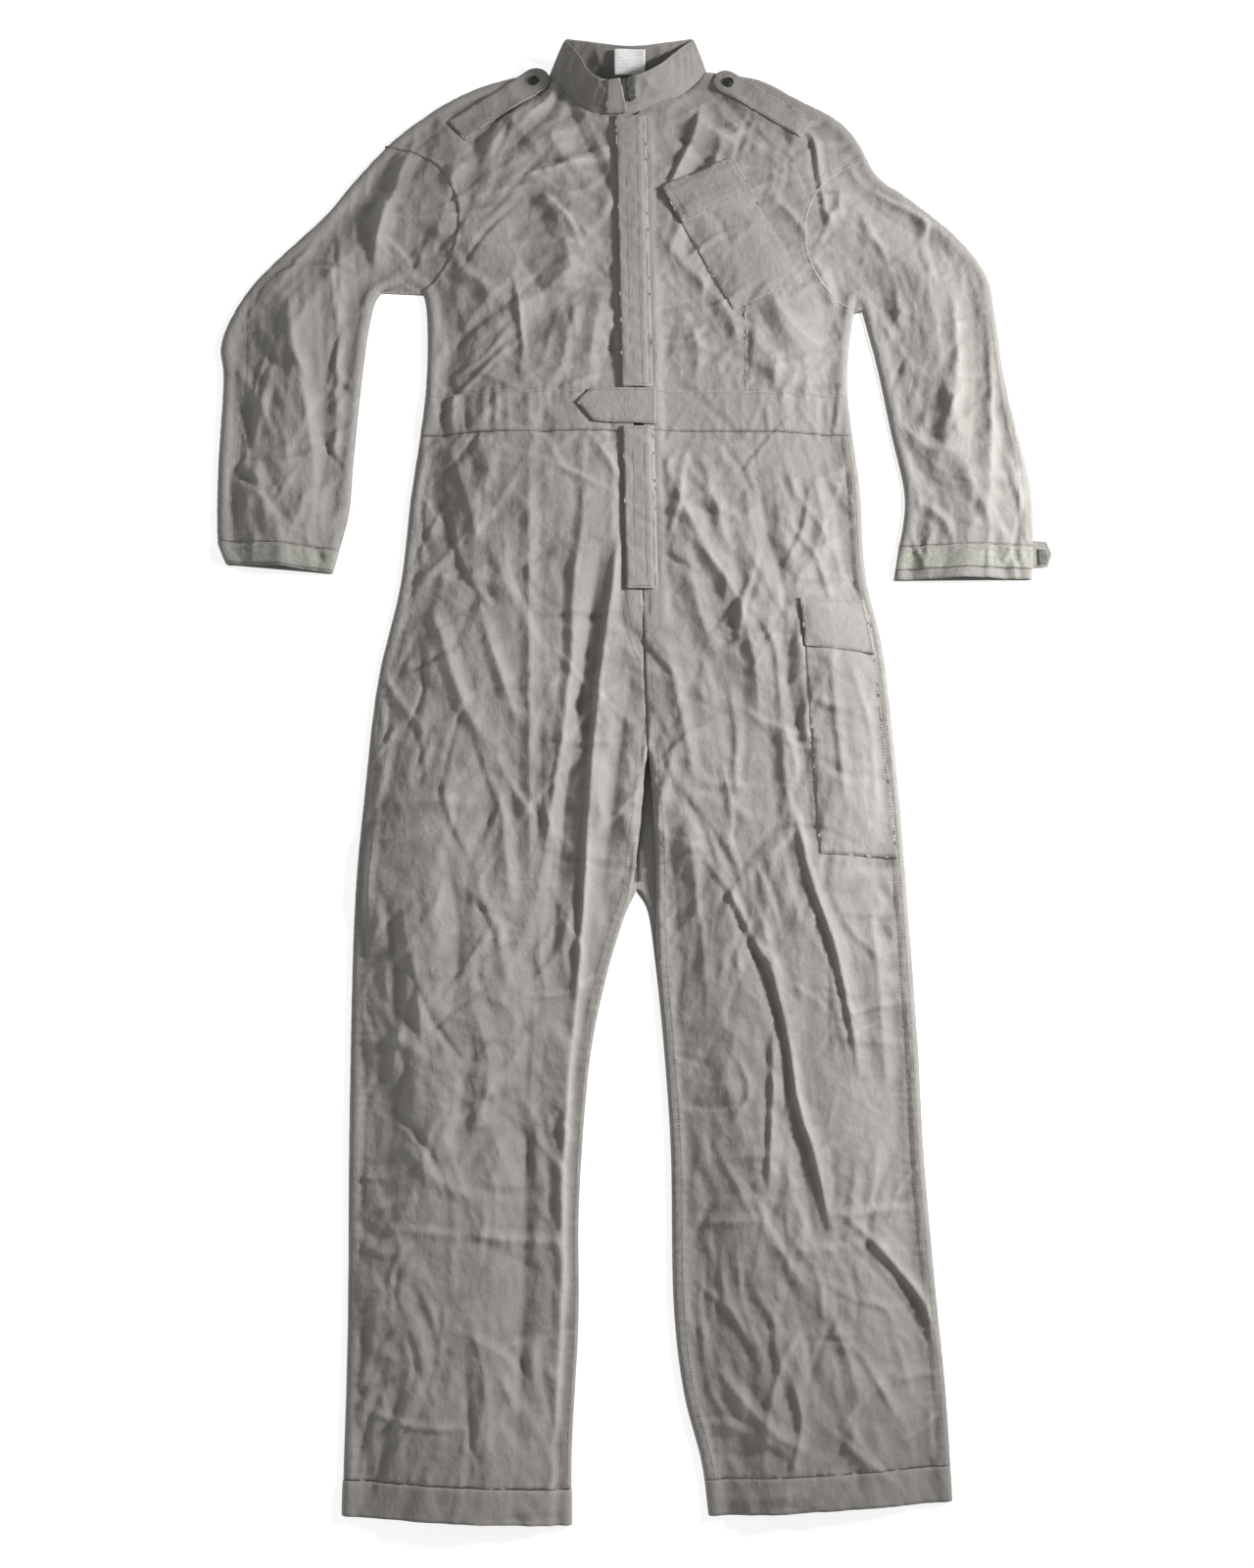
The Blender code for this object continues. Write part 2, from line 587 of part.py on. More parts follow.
def make_slider(metal):
    """Two plates joined by a thin web between the rows of teeth, with a bail that holds the pull."""
    top = ZIP_TOP_Y - 0.002
    low = top - SLIDER_LENGTH
    middle = (top + low) / 2
    pivot = (*zip_at(0, middle), LOFT + 0.0004)

    def block(name, half, low_y, high_y, low_z, high_z):
        shape = zip_strip(-half, half, low_y, high_y)
        low_side, high_side = level(LOFT + low_z), level(LOFT + high_z)
        return plate(name, shape, low_side, high_side, metal, pivot=pivot, sloped=False, gap=0)

    slider = block("zip_slider", SLIDER_HALF, low, top, -0.0017, -0.0005)
    under = block("slider_underplate", SLIDER_HALF, low, top, -0.0064, -0.0052)
    web = block("slider_web", 0.0002, middle - 0.002, middle + 0.002, -0.0060, -0.0010)
    posts = [
        block(f"slider_post_{i}", 0.0008, middle + shift - 0.0005, middle + shift + 0.0005, -0.0010, 0.0015)
        for i, shift in enumerate((-0.0035, 0.0035))
    ]
    bar = block("slider_bail", 0.0008, middle - 0.0040, middle + 0.0040, 0.0011, 0.0019)
    fuse(slider, [under, web, *posts, bar])
    arms = [
        zip_strip(sign * 0.0022, sign * 0.0040, middle - 0.0065, middle + 0.0005)
        for sign in (-1, 1)
    ]
    handle = block("zip_pull", 0.0040, middle - 0.030, middle - 0.0060, 0.0, 0.0008)
    sides = [
        plate(f"pull_arm_{i}", arm, level(LOFT), level(LOFT + 0.0008), metal, pivot=pivot, sloped=False, gap=0)
        for i, arm in enumerate(arms)
    ]
    cross = block("pull_eye", 0.0040, middle - 0.0004, middle + 0.0005, 0.0, 0.0008)
    fuse(handle, [*sides, cross])


def make_storm_flap(cloth, pale, dark):
    """The cover of the zip is in two lengths, above and below the waist tab."""
    spans = {"upper": (0.3945, STORM_TOP_Y), "lower": (STORM_LOW_Y, 0.3475)}
    for name, (low, high) in spans.items():
        hinge = (*zip_at(STORM_SEWN, (low + high) / 2), FLAP_LOW + FLAP / 2)
        cover = zip_strip(STORM_FREE, STORM_SEWN, low, high)
        top = FLAP_LOW + FLAP
        plate("storm_flap_" + name, cover, level(FLAP_LOW), level(top), cloth, pivot=hinge, sloped=False)
        patch = zip_strip(-0.0160, -0.0078, low + 0.012, high - 0.012)
        hook_top = HOOK_LOW + PATCH
        plate("storm_hook_" + name, patch, level(HOOK_LOW), level(hook_top), dark, pivot=hinge, sloped=False)
        plate("storm_loop_" + name, patch, level(LOOP_LOW), level(LOOP_LOW + PATCH), pale, sloped=False)


def make_waist_tab(cloth, pale, dark):
    hinge = (0.0270, 0.3710, FLAP_LOW + 0.0012)
    tab = [(-0.063, 0.3765), (-0.044, 0.3530), (0.0265, 0.3495), (0.0265, 0.3925), (-0.046, 0.3925)]
    plate("waist_tab", tab, level(FLAP_LOW), level(FLAP_LOW + 0.0024), cloth, pivot=hinge, sloped=False)
    patch = [(-0.050, 0.3600), (-0.012, 0.3580), (-0.012, 0.3860), (-0.046, 0.3860)]
    hook_top = HOOK_LOW + PATCH
    plate("waist_tab_hook", patch, level(HOOK_LOW), level(hook_top), dark, pivot=hinge, sloped=False)
    plate("waist_loop_patch", patch, level(LOOP_LOW), level(LOOP_LOW + PATCH), pale, sloped=False)


# Pockets


def pocket(name, corners, material, lift=LAYER_GAP):
    """A shallow bag on the front layer. Its corners run from the mouth's ends down and round."""
    mouth_a, low_a, low_b, mouth_b = (Vector(p) for p in corners)
    outline = straight(mouth_a, low_a) + straight(low_a, low_b) + straight(low_b, mouth_b)
    outline += straight(mouth_b, mouth_a)
    face_low = above_front(LAYER_GAP + POCKET_ROOM)
    face_top = above_front(LAYER_GAP + POCKET_ROOM + POCKET_CLOTH)
    face = plate(name, outline, face_low, face_top, material)
    across = (mouth_b - mouth_a).normalized() * POCKET_WALL
    up = (mouth_a - low_a).normalized() * POCKET_WALL
    rim = straight(mouth_a, low_a) + straight(low_a, low_b) + straight(low_b, mouth_b)
    rim += straight(mouth_b - across, low_b - across + up)
    rim += straight(low_b - across + up, low_a + across + up)
    rim += straight(low_a + across + up, mouth_a + across)
    middle = above_front(LAYER_GAP + POCKET_ROOM + POCKET_CLOTH / 2)
    walls = plate(name + "_walls", rim, above_front(lift), middle, material, gap=SEAM_GAP)
    fuse(face, [walls])
    return face


def make_pockets(cloth, pale, dark):
    stack = LAYER_GAP + POCKET_ROOM + POCKET_CLOTH
    chest = [(0.046, 0.612), (0.114, 0.489), (0.195, 0.526), (0.128, 0.653)]
    pocket("chest_pocket", chest, cloth)
    flap = [(0.033, 0.638), (0.058, 0.592), (0.140, 0.633), (0.116, 0.677)]
    flap_low = LOFT + stack + 0.0025
    pivot = (0.0745, 0.6575, flap_low + 0.0007)
    plate("chest_pocket_flap", flap, level(flap_low), level(flap_low + 0.0014), cloth, pivot=pivot, sloped=False)
    patch = [(0.077, 0.6140), (0.083, 0.6050), (0.110, 0.6185), (0.104, 0.6285)]
    patch_low = LOFT + stack + 0.0003
    plate("chest_pocket_loop", patch, level(patch_low), level(patch_low + PATCH), pale, sloped=False)
    hook_low = patch_low + 0.0011
    plate("chest_flap_hook", patch, level(hook_low), level(hook_low + PATCH), dark, pivot=pivot, sloped=False)

    cargo = [(0.187, 0.135), (0.200, -0.136), (0.281, -0.139), (0.258, 0.133)]
    pocket("cargo_pocket", cargo, cloth, lift=0.0030)
    flap = [(0.184, 0.1485), (0.189, 0.0930), (0.264, 0.0880), (0.251, 0.1490)]
    outline = [p for a, b in zip(flap, flap[1:] + flap[:1]) for p in straight(a, b)]
    pivot = (0.2175, 0.1487, LOFT + stack + 0.0032)
    plate(
        "cargo_pocket_flap", outline, above_front(stack + 0.0026), above_front(stack + 0.0040),
        cloth, pivot=pivot,
    )
    patch = [(0.196, 0.1120), (0.196, 0.1000), (0.228, 0.0990), (0.228, 0.1110)]
    plate("cargo_pocket_loop", patch, level(patch_low), level(patch_low + PATCH), pale, sloped=False)
    plate("cargo_flap_hook", patch, level(hook_low), level(hook_low + PATCH), dark, pivot=pivot, sloped=False)


# Shoulder straps


def make_epaulette(side, base, tip, half, cloth, cap):
    """A strap sewn at the armhole, closed by a snap near the neck."""
    base, tip = Vector(base), Vector(tip)
    along = (tip - base).normalized()
    across = Vector((-along.y, along.x)) * half
    round_end = [
        tip - along * half + across * math.cos(a) + along * half * math.sin(a)
        for a in (math.pi * i / 6 for i in range(7))
    ]
    outline = [base + across, *round_end, base - across]
    hinge = (*base, LOFT + 0.0017)
    plate("epaulette_" + side, outline, level(LOFT + 0.0008), level(LOFT + 0.0026), cloth, pivot=hinge, sloped=False)
    centre = tip - along * 0.019
    snap = [centre + 0.0060 * Vector((math.cos(a), math.sin(a))) for a in
            (2 * math.pi * i / 16 for i in range(16))]
    plate("epaulette_snap_" + side, snap, level(LOFT + 0.0029), level(LOFT + 0.0046), cap, pivot=hinge, sloped=False)


def main():
    clear_scene()
    cloth = make_material("cotton", OLIVE, 0.9)
    pale = make_material("loop_tape", PALE, 0.95)
    dark = make_material("hook_tape", DARK, 0.8)
    metal = make_material("zip_metal", METAL, 0.35, 1.0)
    cap = make_material("snap_cap", DARK, 0.35, 0.6)
    white = make_material("label", WHITE, 0.7)
    make_bodice(cloth)
    make_waistband(cloth)
    make_trousers(cloth)
    make_hems(cloth)
    make_sleeves(cloth, pale, dark)
    make_collar(cloth, pale, white)
    make_zip(cloth, metal, dark)
    make_storm_flap(cloth, pale, dark)
    make_waist_tab(cloth, pale, dark)
    make_pockets(cloth, pale, dark)
    make_epaulette("right", (-0.2045, 0.7150), (-0.1000, 0.7930), 0.0165, cloth, cap)
    make_epaulette("left", (0.2040, 0.7190), (0.0970, 0.7900), 0.0150, cloth, cap)


main()
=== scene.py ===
"""A plain olive-grey work coverall lying flat on its back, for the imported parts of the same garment.

Metres, +Z up. The neck points to +Y and the legs to -Y. Right and left are the wearer's: right is -X.
One height field, made by a small cloth relaxation, carries every panel, seam and stitch of the front.
"""

import math

import bpy
import numpy as np
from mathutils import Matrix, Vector, kdtree
from mathutils.geometry import delaunay_2d_cdt


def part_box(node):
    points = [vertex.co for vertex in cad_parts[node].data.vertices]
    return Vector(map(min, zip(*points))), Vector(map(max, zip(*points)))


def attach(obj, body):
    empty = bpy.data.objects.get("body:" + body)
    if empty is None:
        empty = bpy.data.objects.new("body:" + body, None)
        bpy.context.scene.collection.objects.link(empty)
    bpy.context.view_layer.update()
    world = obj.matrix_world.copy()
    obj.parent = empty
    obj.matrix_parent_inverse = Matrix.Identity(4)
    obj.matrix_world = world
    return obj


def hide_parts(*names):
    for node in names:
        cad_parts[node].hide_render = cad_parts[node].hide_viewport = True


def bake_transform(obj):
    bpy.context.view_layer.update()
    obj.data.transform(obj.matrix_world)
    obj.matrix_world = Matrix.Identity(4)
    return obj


# Lay and cloth
CLOTH = 0.0007  # thickness of one layer
TOP = 0.0240  # height of the front layer away from the folded sides
EDGE = 0.0016  # height at which the two layers meet at a folded side
MESH = 0.0026  # spacing of the front panels' points
BACK_MESH = 0.009  # spacing of the back panels' points
GRID = 0.004  # spacing of the relaxation's grid
FINE = GRID / 2  # spacing of the grid that keeps the sharp creases
CREASE_SHARE = 0.85  # how much of the written crease heights is laid
GRID_LOW = np.array([-0.490, -0.850])
GRID_HIGH = np.array([0.490, 0.840])

# Heights of the cross cuts
WAIST_TOP_Y = 0.3910
WAIST_LOW_Y = 0.3430
NECK_LOW_Y = 0.7300
CROTCH_Y = -0.1740
HEM_HEIGHT = 0.034

# Zip and the cover over it
ZIP_X = 0.0030
ZIP_MID_Y = 0.530
ZIP_LEAN = -0.0219
ZIP_TOP_Y = 0.7200
ZIP_LOW_Y = 0.1560
FRONT_EDGE = 0.0060
COVER_FREE = -0.0180
COVER_SEWN = 0.0170
COVER_SPANS = {"upper": (0.3945, 0.7285), "lower": (0.1580, 0.3475)}

# Round armholes
ARMHOLE_RADIUS = 0.100
UNDERLAP = 0.003  # how far a piece goes on under the next one at a seam
ARMHOLES = {"right": (-0.300, 0.600), "left": (0.300, 0.585)}
SLEEVE_BENDS = {
    "right": ((-0.262, 0.531, 0), (-0.346, 0.425, 0)),
    "left": ((0.2575, 0.507, 0), (0.319, 0.384, 0)),
}

# Folded sides, each with y rising
SIDE_RIGHT = [
    (-0.294, -0.815), (-0.294, -0.62), (-0.298, -0.42), (-0.299, -0.20), (-0.291, -0.06),
    (-0.280, 0.06), (-0.258, 0.17), (-0.249, 0.27), (-0.236, 0.38), (-0.234, 0.46),
    (-0.240, 0.515), (-0.262, 0.531),
]
ARM_INNER_RIGHT = [
    (-0.336, 0.175), (-0.328, 0.209), (-0.318, 0.255), (-0.315, 0.31), (-0.309, 0.40),
    (-0.301, 0.48), (-0.290, 0.517), (-0.262, 0.531),
]
ARM_OUTER_RIGHT = [
    (-0.447, 0.185), (-0.463, 0.215), (-0.467, 0.30), (-0.4655, 0.41), (-0.4695, 0.458),
    (-0.446, 0.514), (-0.407, 0.562), (-0.359, 0.611), (-0.320, 0.662), (-0.276, 0.712),
    (-0.210, 0.762), (-0.147, 0.788), (-0.096, 0.794),
]
INSEAM_RIGHT = [
    (-0.062, -0.825), (-0.062, -0.74), (-0.056, -0.62), (-0.056, -0.50), (-0.046, -0.36),
    (-0.029, -0.27), (-0.010, -0.205), (0.004, CROTCH_Y),
]
SIDE_LEFT = [
    (0.324, -0.815), (0.320, -0.69), (0.313, -0.59), (0.305, -0.45), (0.302, -0.33),
    (0.294, -0.15), (0.288, -0.04), (0.277, 0.09), (0.260, 0.18), (0.256, 0.28),
    (0.245, 0.39), (0.249, 0.46), (0.2575, 0.507),
]
ARM_INNER_LEFT = [
    (0.291, 0.160), (0.292, 0.19), (0.303, 0.235), (0.306, 0.28), (0.293, 0.35),
    (0.281, 0.42), (0.270, 0.47), (0.2625, 0.500), (0.2575, 0.507),
]
ARM_OUTER_LEFT = [
    (0.444, 0.160), (0.449, 0.23), (0.448, 0.28), (0.437, 0.347), (0.423, 0.418),
    (0.416, 0.49), (0.408, 0.540), (0.376, 0.587), (0.322, 0.636), (0.286, 0.664),
    (0.262, 0.710), (0.238, 0.737), (0.195, 0.762), (0.147, 0.788), (0.087, 0.798),
]
INSEAM_LEFT = [
    (0.078, -0.825), (0.070, -0.76), (0.052, -0.69), (0.042, -0.60), (0.040, -0.45),
    (0.033, -0.34), (0.023, -0.24), (0.016, -0.195), (0.004, CROTCH_Y),
]
# Inner edges of the front legs below the fork, where they part over the back
GAP_TOP = (0.0167, -0.015)
GAP_EDGES = {
    "right": [
        (-0.010, -0.205), (-0.0015, -0.180), (0.0053, -0.130), (0.0105, -0.090), (0.0143, -0.050), GAP_TOP
    ],
    "left": [
        (0.0265, -0.255), (0.0250, -0.190), (0.0242, -0.135), (0.0213, -0.085), (0.0188, -0.045), GAP_TOP
    ],
}
NECK_FRONT = [
    (-0.096, 0.794), (-0.080, 0.773), (-0.064, 0.753), (-0.047, 0.737), (-0.030, 0.7305),
    (-0.006, 0.7345), (0.010, 0.7420), (0.033, 0.753), (0.053, 0.764), (0.069, 0.777),
    (0.087, 0.798),
]
NECK_BACK = [(-0.096, 0.794), (-0.060, 0.775), (-0.004, 0.765), (0.052, 0.776), (0.087, 0.798)]

# Tops of the hem bands and of the cuffs: heights at the outer and at the inner side
HEM_TOPS = {"right": (-0.776, -0.785), "left": (-0.762, -0.776)}
CUFF_TOPS = {"right": (0.2190, 0.2080), "left": (0.2130, 0.2120)}
CUFF_HEIGHTS = {"right": 0.026, "left": 0.038}

CHEST_POCKET = [(0.046, 0.612), (0.114, 0.489), (0.195, 0.526), (0.128, 0.653)]
CHEST_FLAP = [(0.033, 0.638), (0.058, 0.592), (0.140, 0.633), (0.116, 0.677)]
CARGO_POCKET = [(0.187, 0.135), (0.200, -0.136), (0.286, -0.139), (0.263, 0.133)]
CARGO_FLAP = [(0.184, 0.1485), (0.189, 0.0930), (0.2675, 0.0880), (0.256, 0.1490)]
WAIST_TAB = [(-0.063, 0.3765), (-0.044, 0.3530), (0.0265, 0.3495), (0.0265, 0.3925), (-0.046, 0.3925)]
STRAPS = {  # where a shoulder strap is sewn, its tip, its half width
    "right": ((-0.2045, 0.7150), (-0.1000, 0.7930), 0.0165),
    "left": ((0.2040, 0.7190), (0.0970, 0.7900), 0.0150),
}

# Creases, all in millimetres: height (below zero is a valley), width to the left and right of travel, points
CREASES_MM = [
    # Right half of the bodice
    (7.5, 16, 24, [(-254, 726), (-257, 698), (-272, 650), (-297, 567)]),
    (-8, 20, 14, [(-132, 777), (-164, 741), (-180, 717), (-183, 677)]),
    (6, 14, 26, [(-112, 765), (-140, 730), (-160, 690), (-164, 640)]),
    (4, 14, 14, [(-209, 629), (-204, 656), (-183, 675)]),
    (5, 18, 11, [(-206, 623), (-168, 629), (-113, 644), (-61, 675), (-26, 690)]),
    (4.5, 12, 18, [(-213, 577), (-156, 566), (-107, 571), (-40, 562), (-20, 547)]),
    (4, 12, 16, [(-111, 644), (-80, 585), (-72, 540)]),
    (3.5, 10, 12, [(-80, 608), (-36, 567)]),
    (-7.5, 30, 22, [(-32, 538), (-66, 509), (-102, 477), (-149, 423)]),
    (5, 20, 20, [(-60, 545), (-100, 512), (-140, 480), (-175, 452)]),
    (-5, 20, 18, [(-201, 495), (-195, 463), (-203, 437), (-224, 408)]),
    (3.5, 14, 10, [(-127, 530), (-124, 394)]),
    (4, 12, 14, [(-64, 495), (-79, 423), (-84, 397)]),
    (4, 10, 14, [(-34, 509), (-45, 451), (-48, 397)]),
    (-4, 10, 10, [(-28, 466), (-17, 423)]),
    (4.5, 20, 14, [(-50, 735), (-85, 705), (-130, 690)]),
    (-4, 16, 16, [(-40, 720), (-75, 680), (-120, 668)]),
    (3.5, 12, 12, [(-205, 545), (-170, 520), (-160, 480)]),
    (-8, 12, 26, [(-74, 752), (-65, 723), (-43, 676), (-22, 639)]),
    (6.5, 7, 18, [(-85, 785), (-96, 756), (-121, 728), (-143, 704)]),
    (6, 14, 5, [(-155, 643), (-99, 657), (-39, 676), (-20, 683)]),
    (6, 6, 14, [(-103, 632), (-73, 597), (-58, 560)]),
    # Left half of the bodice
    (5, 14, 18, [(60, 745), (85, 715), (135, 690)]),
    (-4.5, 18, 16, [(45, 735), (60, 700), (110, 680)]),
    (5, 18, 14, [(135, 770), (150, 720), (175, 680), (200, 655)]),
    (-6, 20, 16, [(165, 755), (180, 700), (178, 640)]),
    (4.5, 14, 14, [(30, 585), (55, 550), (100, 500), (120, 455)]),
    (-5, 18, 18, [(35, 540), (70, 500), (105, 440)]),
    (5, 16, 20, [(150, 520), (175, 480), (205, 455), (235, 450)]),
    (-5.5, 16, 20, [(140, 495), (165, 450), (200, 420)]),
    (4, 12, 12, [(205, 560), (225, 520), (235, 470)]),
    (4, 12, 14, [(70, 470), (75, 430), (70, 395)]),
    (3.5, 10, 12, [(165, 440), (160, 395)]),
    (4, 12, 12, [(195, 440), (200, 395)]),
    (4.5, 14, 14, [(160, 630), (190, 600), (205, 570)]),
    (-9, 30, 12, [(95, 783), (121, 740), (159, 699), (189, 667), (211, 620)]),
    (6.5, 16, 10, [(105, 709), (94, 667), (59, 601), (42, 555)]),
    (7, 18, 6, [(82, 752), (73, 709), (53, 662), (36, 620)]),
    (6, 12, 5, [(189, 723), (209, 709), (216, 657), (224, 601)]),
    # Waistband puckers
    (3, 9, 6, [(-228, 396), (-225, 338)]),
    (-3, 6, 8, [(-215, 396), (-214, 338)]),
    (3.4, 7, 9, [(-203, 396), (-201, 338)]),
    (-3, 7, 6, [(-189, 396), (-186, 338)]),
    (3, 8, 6, [(-152, 396), (-154, 338)]),
    (2.4, 6, 9, [(-118, 396), (-114, 338)]),
    (-2.4, 6, 9, [(-100, 396), (-101, 338)]),
    (2.4, 6, 9, [(150, 396), (153, 338)]),
    (-3, 6, 8, [(183, 396), (185, 338)]),
    (3.2, 7, 9, [(209, 396), (207, 338)]),
    (3, 6, 8, [(234, 396), (232, 338)]),
    (2.5, 7, 9, [(-165, 395), (-168, 342)]),
    (2, 6, 8, [(-140, 395), (-139, 342)]),
    (2.2, 7, 8, [(170, 395), (172, 342)]),
    (2.5, 8, 7, [(195, 395), (199, 342)]),
    (2, 7, 6, [(220, 395), (222, 342)]),
    # Right leg
    (4.5, 12, 12, [(-115, 342), (-112, 50), (-109, -230)]),
    (6, 26, 10, [(-54, 342), (-55, 236), (-64, 160), (-71, 29), (-108, -228)]),
    (9, 21, 7, [(-10, 230), (-20, 173), (-36, 49), (-46, -71), (-53, -208), (-60, -300)]),
    (13, 10, 38, [(-47, -110), (-56, -258), (-63, -338), (-69, -416), (-72, -493), (-71, -569),
                  (-74, -644), (-80, -750), (-86, -850)]),
    (-7.5, 14, 14, [(-34, 215), (-46, 120), (-58, 20), (-72, -90), (-86, -250)]),
    (-5.5, 14, 12, [(0, 70), (-14, -20), (-24, -110), (-36, -200)]),
    (-4.5, 14, 32, [(-104, -200), (-112, -400), (-112, -560), (-120, -820)]),
    (5, 16, 12, [(-224, 143), (-211, 107), (-182, 25), (-153, -20)]),
    (4.5, 14, 10, [(-168, 139), (-151, 82), (-134, 33), (-122, 1)]),
    (4.5, 12, 12, [(-149, -24), (-133, -55), (-113, -95)]),
    (4.5, 12, 14, [(-145, -48), (-136, -130), (-128, -189)]),
    (5, 14, 18, [(-248, -204), (-230, -263), (-218, -364)]),
    (3, 12, 12, [(-270, -82), (-215, -78), (-165, -84)]),
    (-5, 18, 18, [(-235, 300), (-205, 230), (-190, 170)]),
    (4.5, 16, 16, [(-205, 330), (-185, 270), (-170, 210)]),
    (-5, 16, 20, [(-200, -130), (-185, -220), (-190, -310)]),
    (4, 14, 14, [(-170, -290), (-150, -360), (-160, -430)]),
    (2.5, 8, 8, [(-268, -526), (-157, -535), (-66, -543)]),
    (3.5, 14, 12, [(-240, -440), (-200, -480), (-150, -500)]),
    (-4, 16, 16, [(-230, -580), (-200, -650), (-215, -730)]),
    (4, 14, 14, [(-170, -600), (-150, -680), (-160, -750)]),
    # Left leg
    (6.5, 18, 14, [(32, 321), (53, 265), (81, 202), (112, 152), (134, 70), (137, -11)]),
    (4.5, 14, 12, [(77, 321), (96, 244), (108, 202)]),
    (-6.5, 16, 16, [(142, 299), (148, 236), (164, 173), (167, 131), (159, 57)]),
    (4.5, 12, 12, [(32, 107), (47, 49), (59, -11), (66, -64)]),
    (2.8, 10, 10, [(66, -56), (141, -64)]),
    (-7, 18, 18, [(97, -127), (119, -189), (134, -262), (163, -339)]),
    (8, 16, 6, [(175, -83), (190, -160), (214, -234), (229, -306), (239, -375)]),
    (9, 20, 6, [(78, -140), (104, -177), (131, -234), (149, -274), (166, -345), (173, -400), (188, -455),
                (208, -540)]),
    (5.5, 14, 5, [(148, -325), (145, -416), (140, -495)]),
    (-6, 14, 18, [(141, -397), (173, -446), (188, -543)]),
    (-7.5, 12, 18, [(205, -528), (249, -569), (287, -614), (322, -668)]),
    (8, 22, 7, [(214, -508), (262, -555), (298, -603), (332, -662)]),
    (3, 14, 12, [(66, -510), (93, -584), (116, -650)]),
    (6.5, 12, 16, [(88, -668), (136, -723), (176, -746)]),
    (-5.5, 14, 12, [(184, 140), (170, 73), (177, 16), (188, -24), (191, -71), (197, -143)]),
    (5, 16, 14, [(160, 20), (165, -50), (178, -130)]),
    (2.5, 8, 8, [(57, -522), (131, -518)]),
    (2.5, 8, 8, [(205, -514), (304, -503)]),
    (4, 12, 12, [(60, -110), (72, -200), (78, -290)]),
    (-4.5, 14, 14, [(36, -80), (46, -170), (52, -260)]),
    (5, 14, 14, [(255, -180), (262, -280), (268, -400)]),
    (4, 14, 12, [(200, -600), (225, -680), (220, -750)]),
    (-4, 14, 14, [(160, -580), (180, -650), (178, -710)]),
    (4.5, 14, 14, [(200, 300), (215, 240), (210, 185)]),
    (4, 12, 14, [(60, 200), (75, 130), (95, 80)]),
    (4, 8, 6, [(194, 36), (225, 24), (272, 34)]),
    (-3.5, 10, 8, [(200, -30), (235, -52), (275, -48)]),
    (3.5, 10, 6, [(216, 85), (222, 10), (230, -90)]),
    (3, 7, 7, [(240, 70), (262, -10), (262, -100)]),
    # Right sleeve
    (6, 16, 20, [(-396, 520), (-372, 400), (-359, 322), (-355, 225)]),
    (5.5, 16, 16, [(-343, 573), (-335, 440), (-333, 322), (-328, 230)]),
    (-6, 18, 18, [(-362, 560), (-352, 450), (-346, 330)]),
    (6, 16, 20, [(-285, 640), (-292, 580), (-300, 540)]),
    (-6, 20, 18, [(-310, 630), (-318, 560), (-312, 500)]),
    (5, 18, 16, [(-345, 615), (-385, 555), (-425, 500)]),
    (-4.5, 16, 16, [(-440, 470), (-410, 430), (-385, 420)]),
    (4.5, 14, 14, [(-455, 430), (-420, 380), (-400, 330)]),
    (-5, 16, 16, [(-425, 330), (-395, 270), (-390, 230)]),
    # Left sleeve
    (7, 18, 16, [(240, 690), (276, 643), (330, 613), (376, 575), (398, 500)]),
    (-7, 16, 18, [(245, 660), (290, 615), (340, 580), (362, 540)]),
    (6, 16, 16, [(364, 530), (369, 430), (355, 350), (340, 300)]),
    (5.5, 14, 14, [(405, 524), (408, 398), (400, 284), (395, 230)]),
    (-6.5, 18, 18, [(388, 520), (390, 400), (378, 300)]),
    (-6, 18, 18, [(300, 560), (325, 500), (330, 430)]),
    (5.5, 14, 16, [(270, 600), (300, 530), (305, 460)]),
    (5, 14, 14, [(300, 360), (330, 330), (370, 320)]),
    (-5, 14, 14, [(310, 320), (345, 285), (380, 275)]),
    (4, 10, 10, [(315, 270), (345, 245), (355, 225)]),
]
CREASES = [
    (h / 1000, a / 1000, b / 1000, [(x / 1000, y / 1000) for x, y in line])
    for h, a, b, line in CREASES_MM
]
# How far each layer lies above the front cloth, in metres
BODICE_LIFT, BAND_LIFT, HEM_LIFT = 0.0009, 0.0020, 0.0015
COVER_LIFT, WAIST_TAB_LIFT = 0.0036, 0.0048
POCKET_LIFT, LID_LIFT = 0.0017, 0.0016
STRAP_LIFT, WRIST_TAB_LIFT, COLLAR_TAB_LIFT = 0.0034, 0.0022, 0.0042
SMALL_CREASES = 1700
SEED = 7


# Plane curves


def smooth(points, step=0.004):
    """A Catmull-Rom curve through the points, sampled about every step."""
    path = np.array(points, float)
    path = np.vstack([2 * path[0] - path[1], path, 2 * path[-1] - path[-2]])
    out = []
    for a, b, c, d in zip(path, path[1:], path[2:], path[3:]):
        count = max(1, round(float(np.linalg.norm(c - b)) / step))
        t = (np.arange(count) / count)[:, None]
        out.append(0.5 * (2 * b + (c - a) * t + (2 * a - 5 * b + 4 * c - d) * t**2
                          + (3 * b - a - 3 * c + d) * t**3))
    out.append(path[-2][None])
    return np.vstack(out)


def straight(*points, step=0.004):
    out = []
    for a, b in zip(points, points[1:]):
        a, b = np.array(a, float), np.array(b, float)
        count = max(1, round(float(np.linalg.norm(b - a)) / step))
        out.append(a + (b - a) * (np.arange(count) / count)[:, None])
    out.append(np.array(points[-1], float)[None])
    return np.vstack(out)


def at_height(curve, y):
    """The point of a curve with rising y at a height."""
    return np.array([np.interp(y, curve[:, 1], curve[:, 0]), y])


def cut(curve, low, high):
    inner = curve[(curve[:, 1] > low) & (curve[:, 1] < high)]
    return np.vstack([at_height(curve, low), inner, at_height(curve, high)])


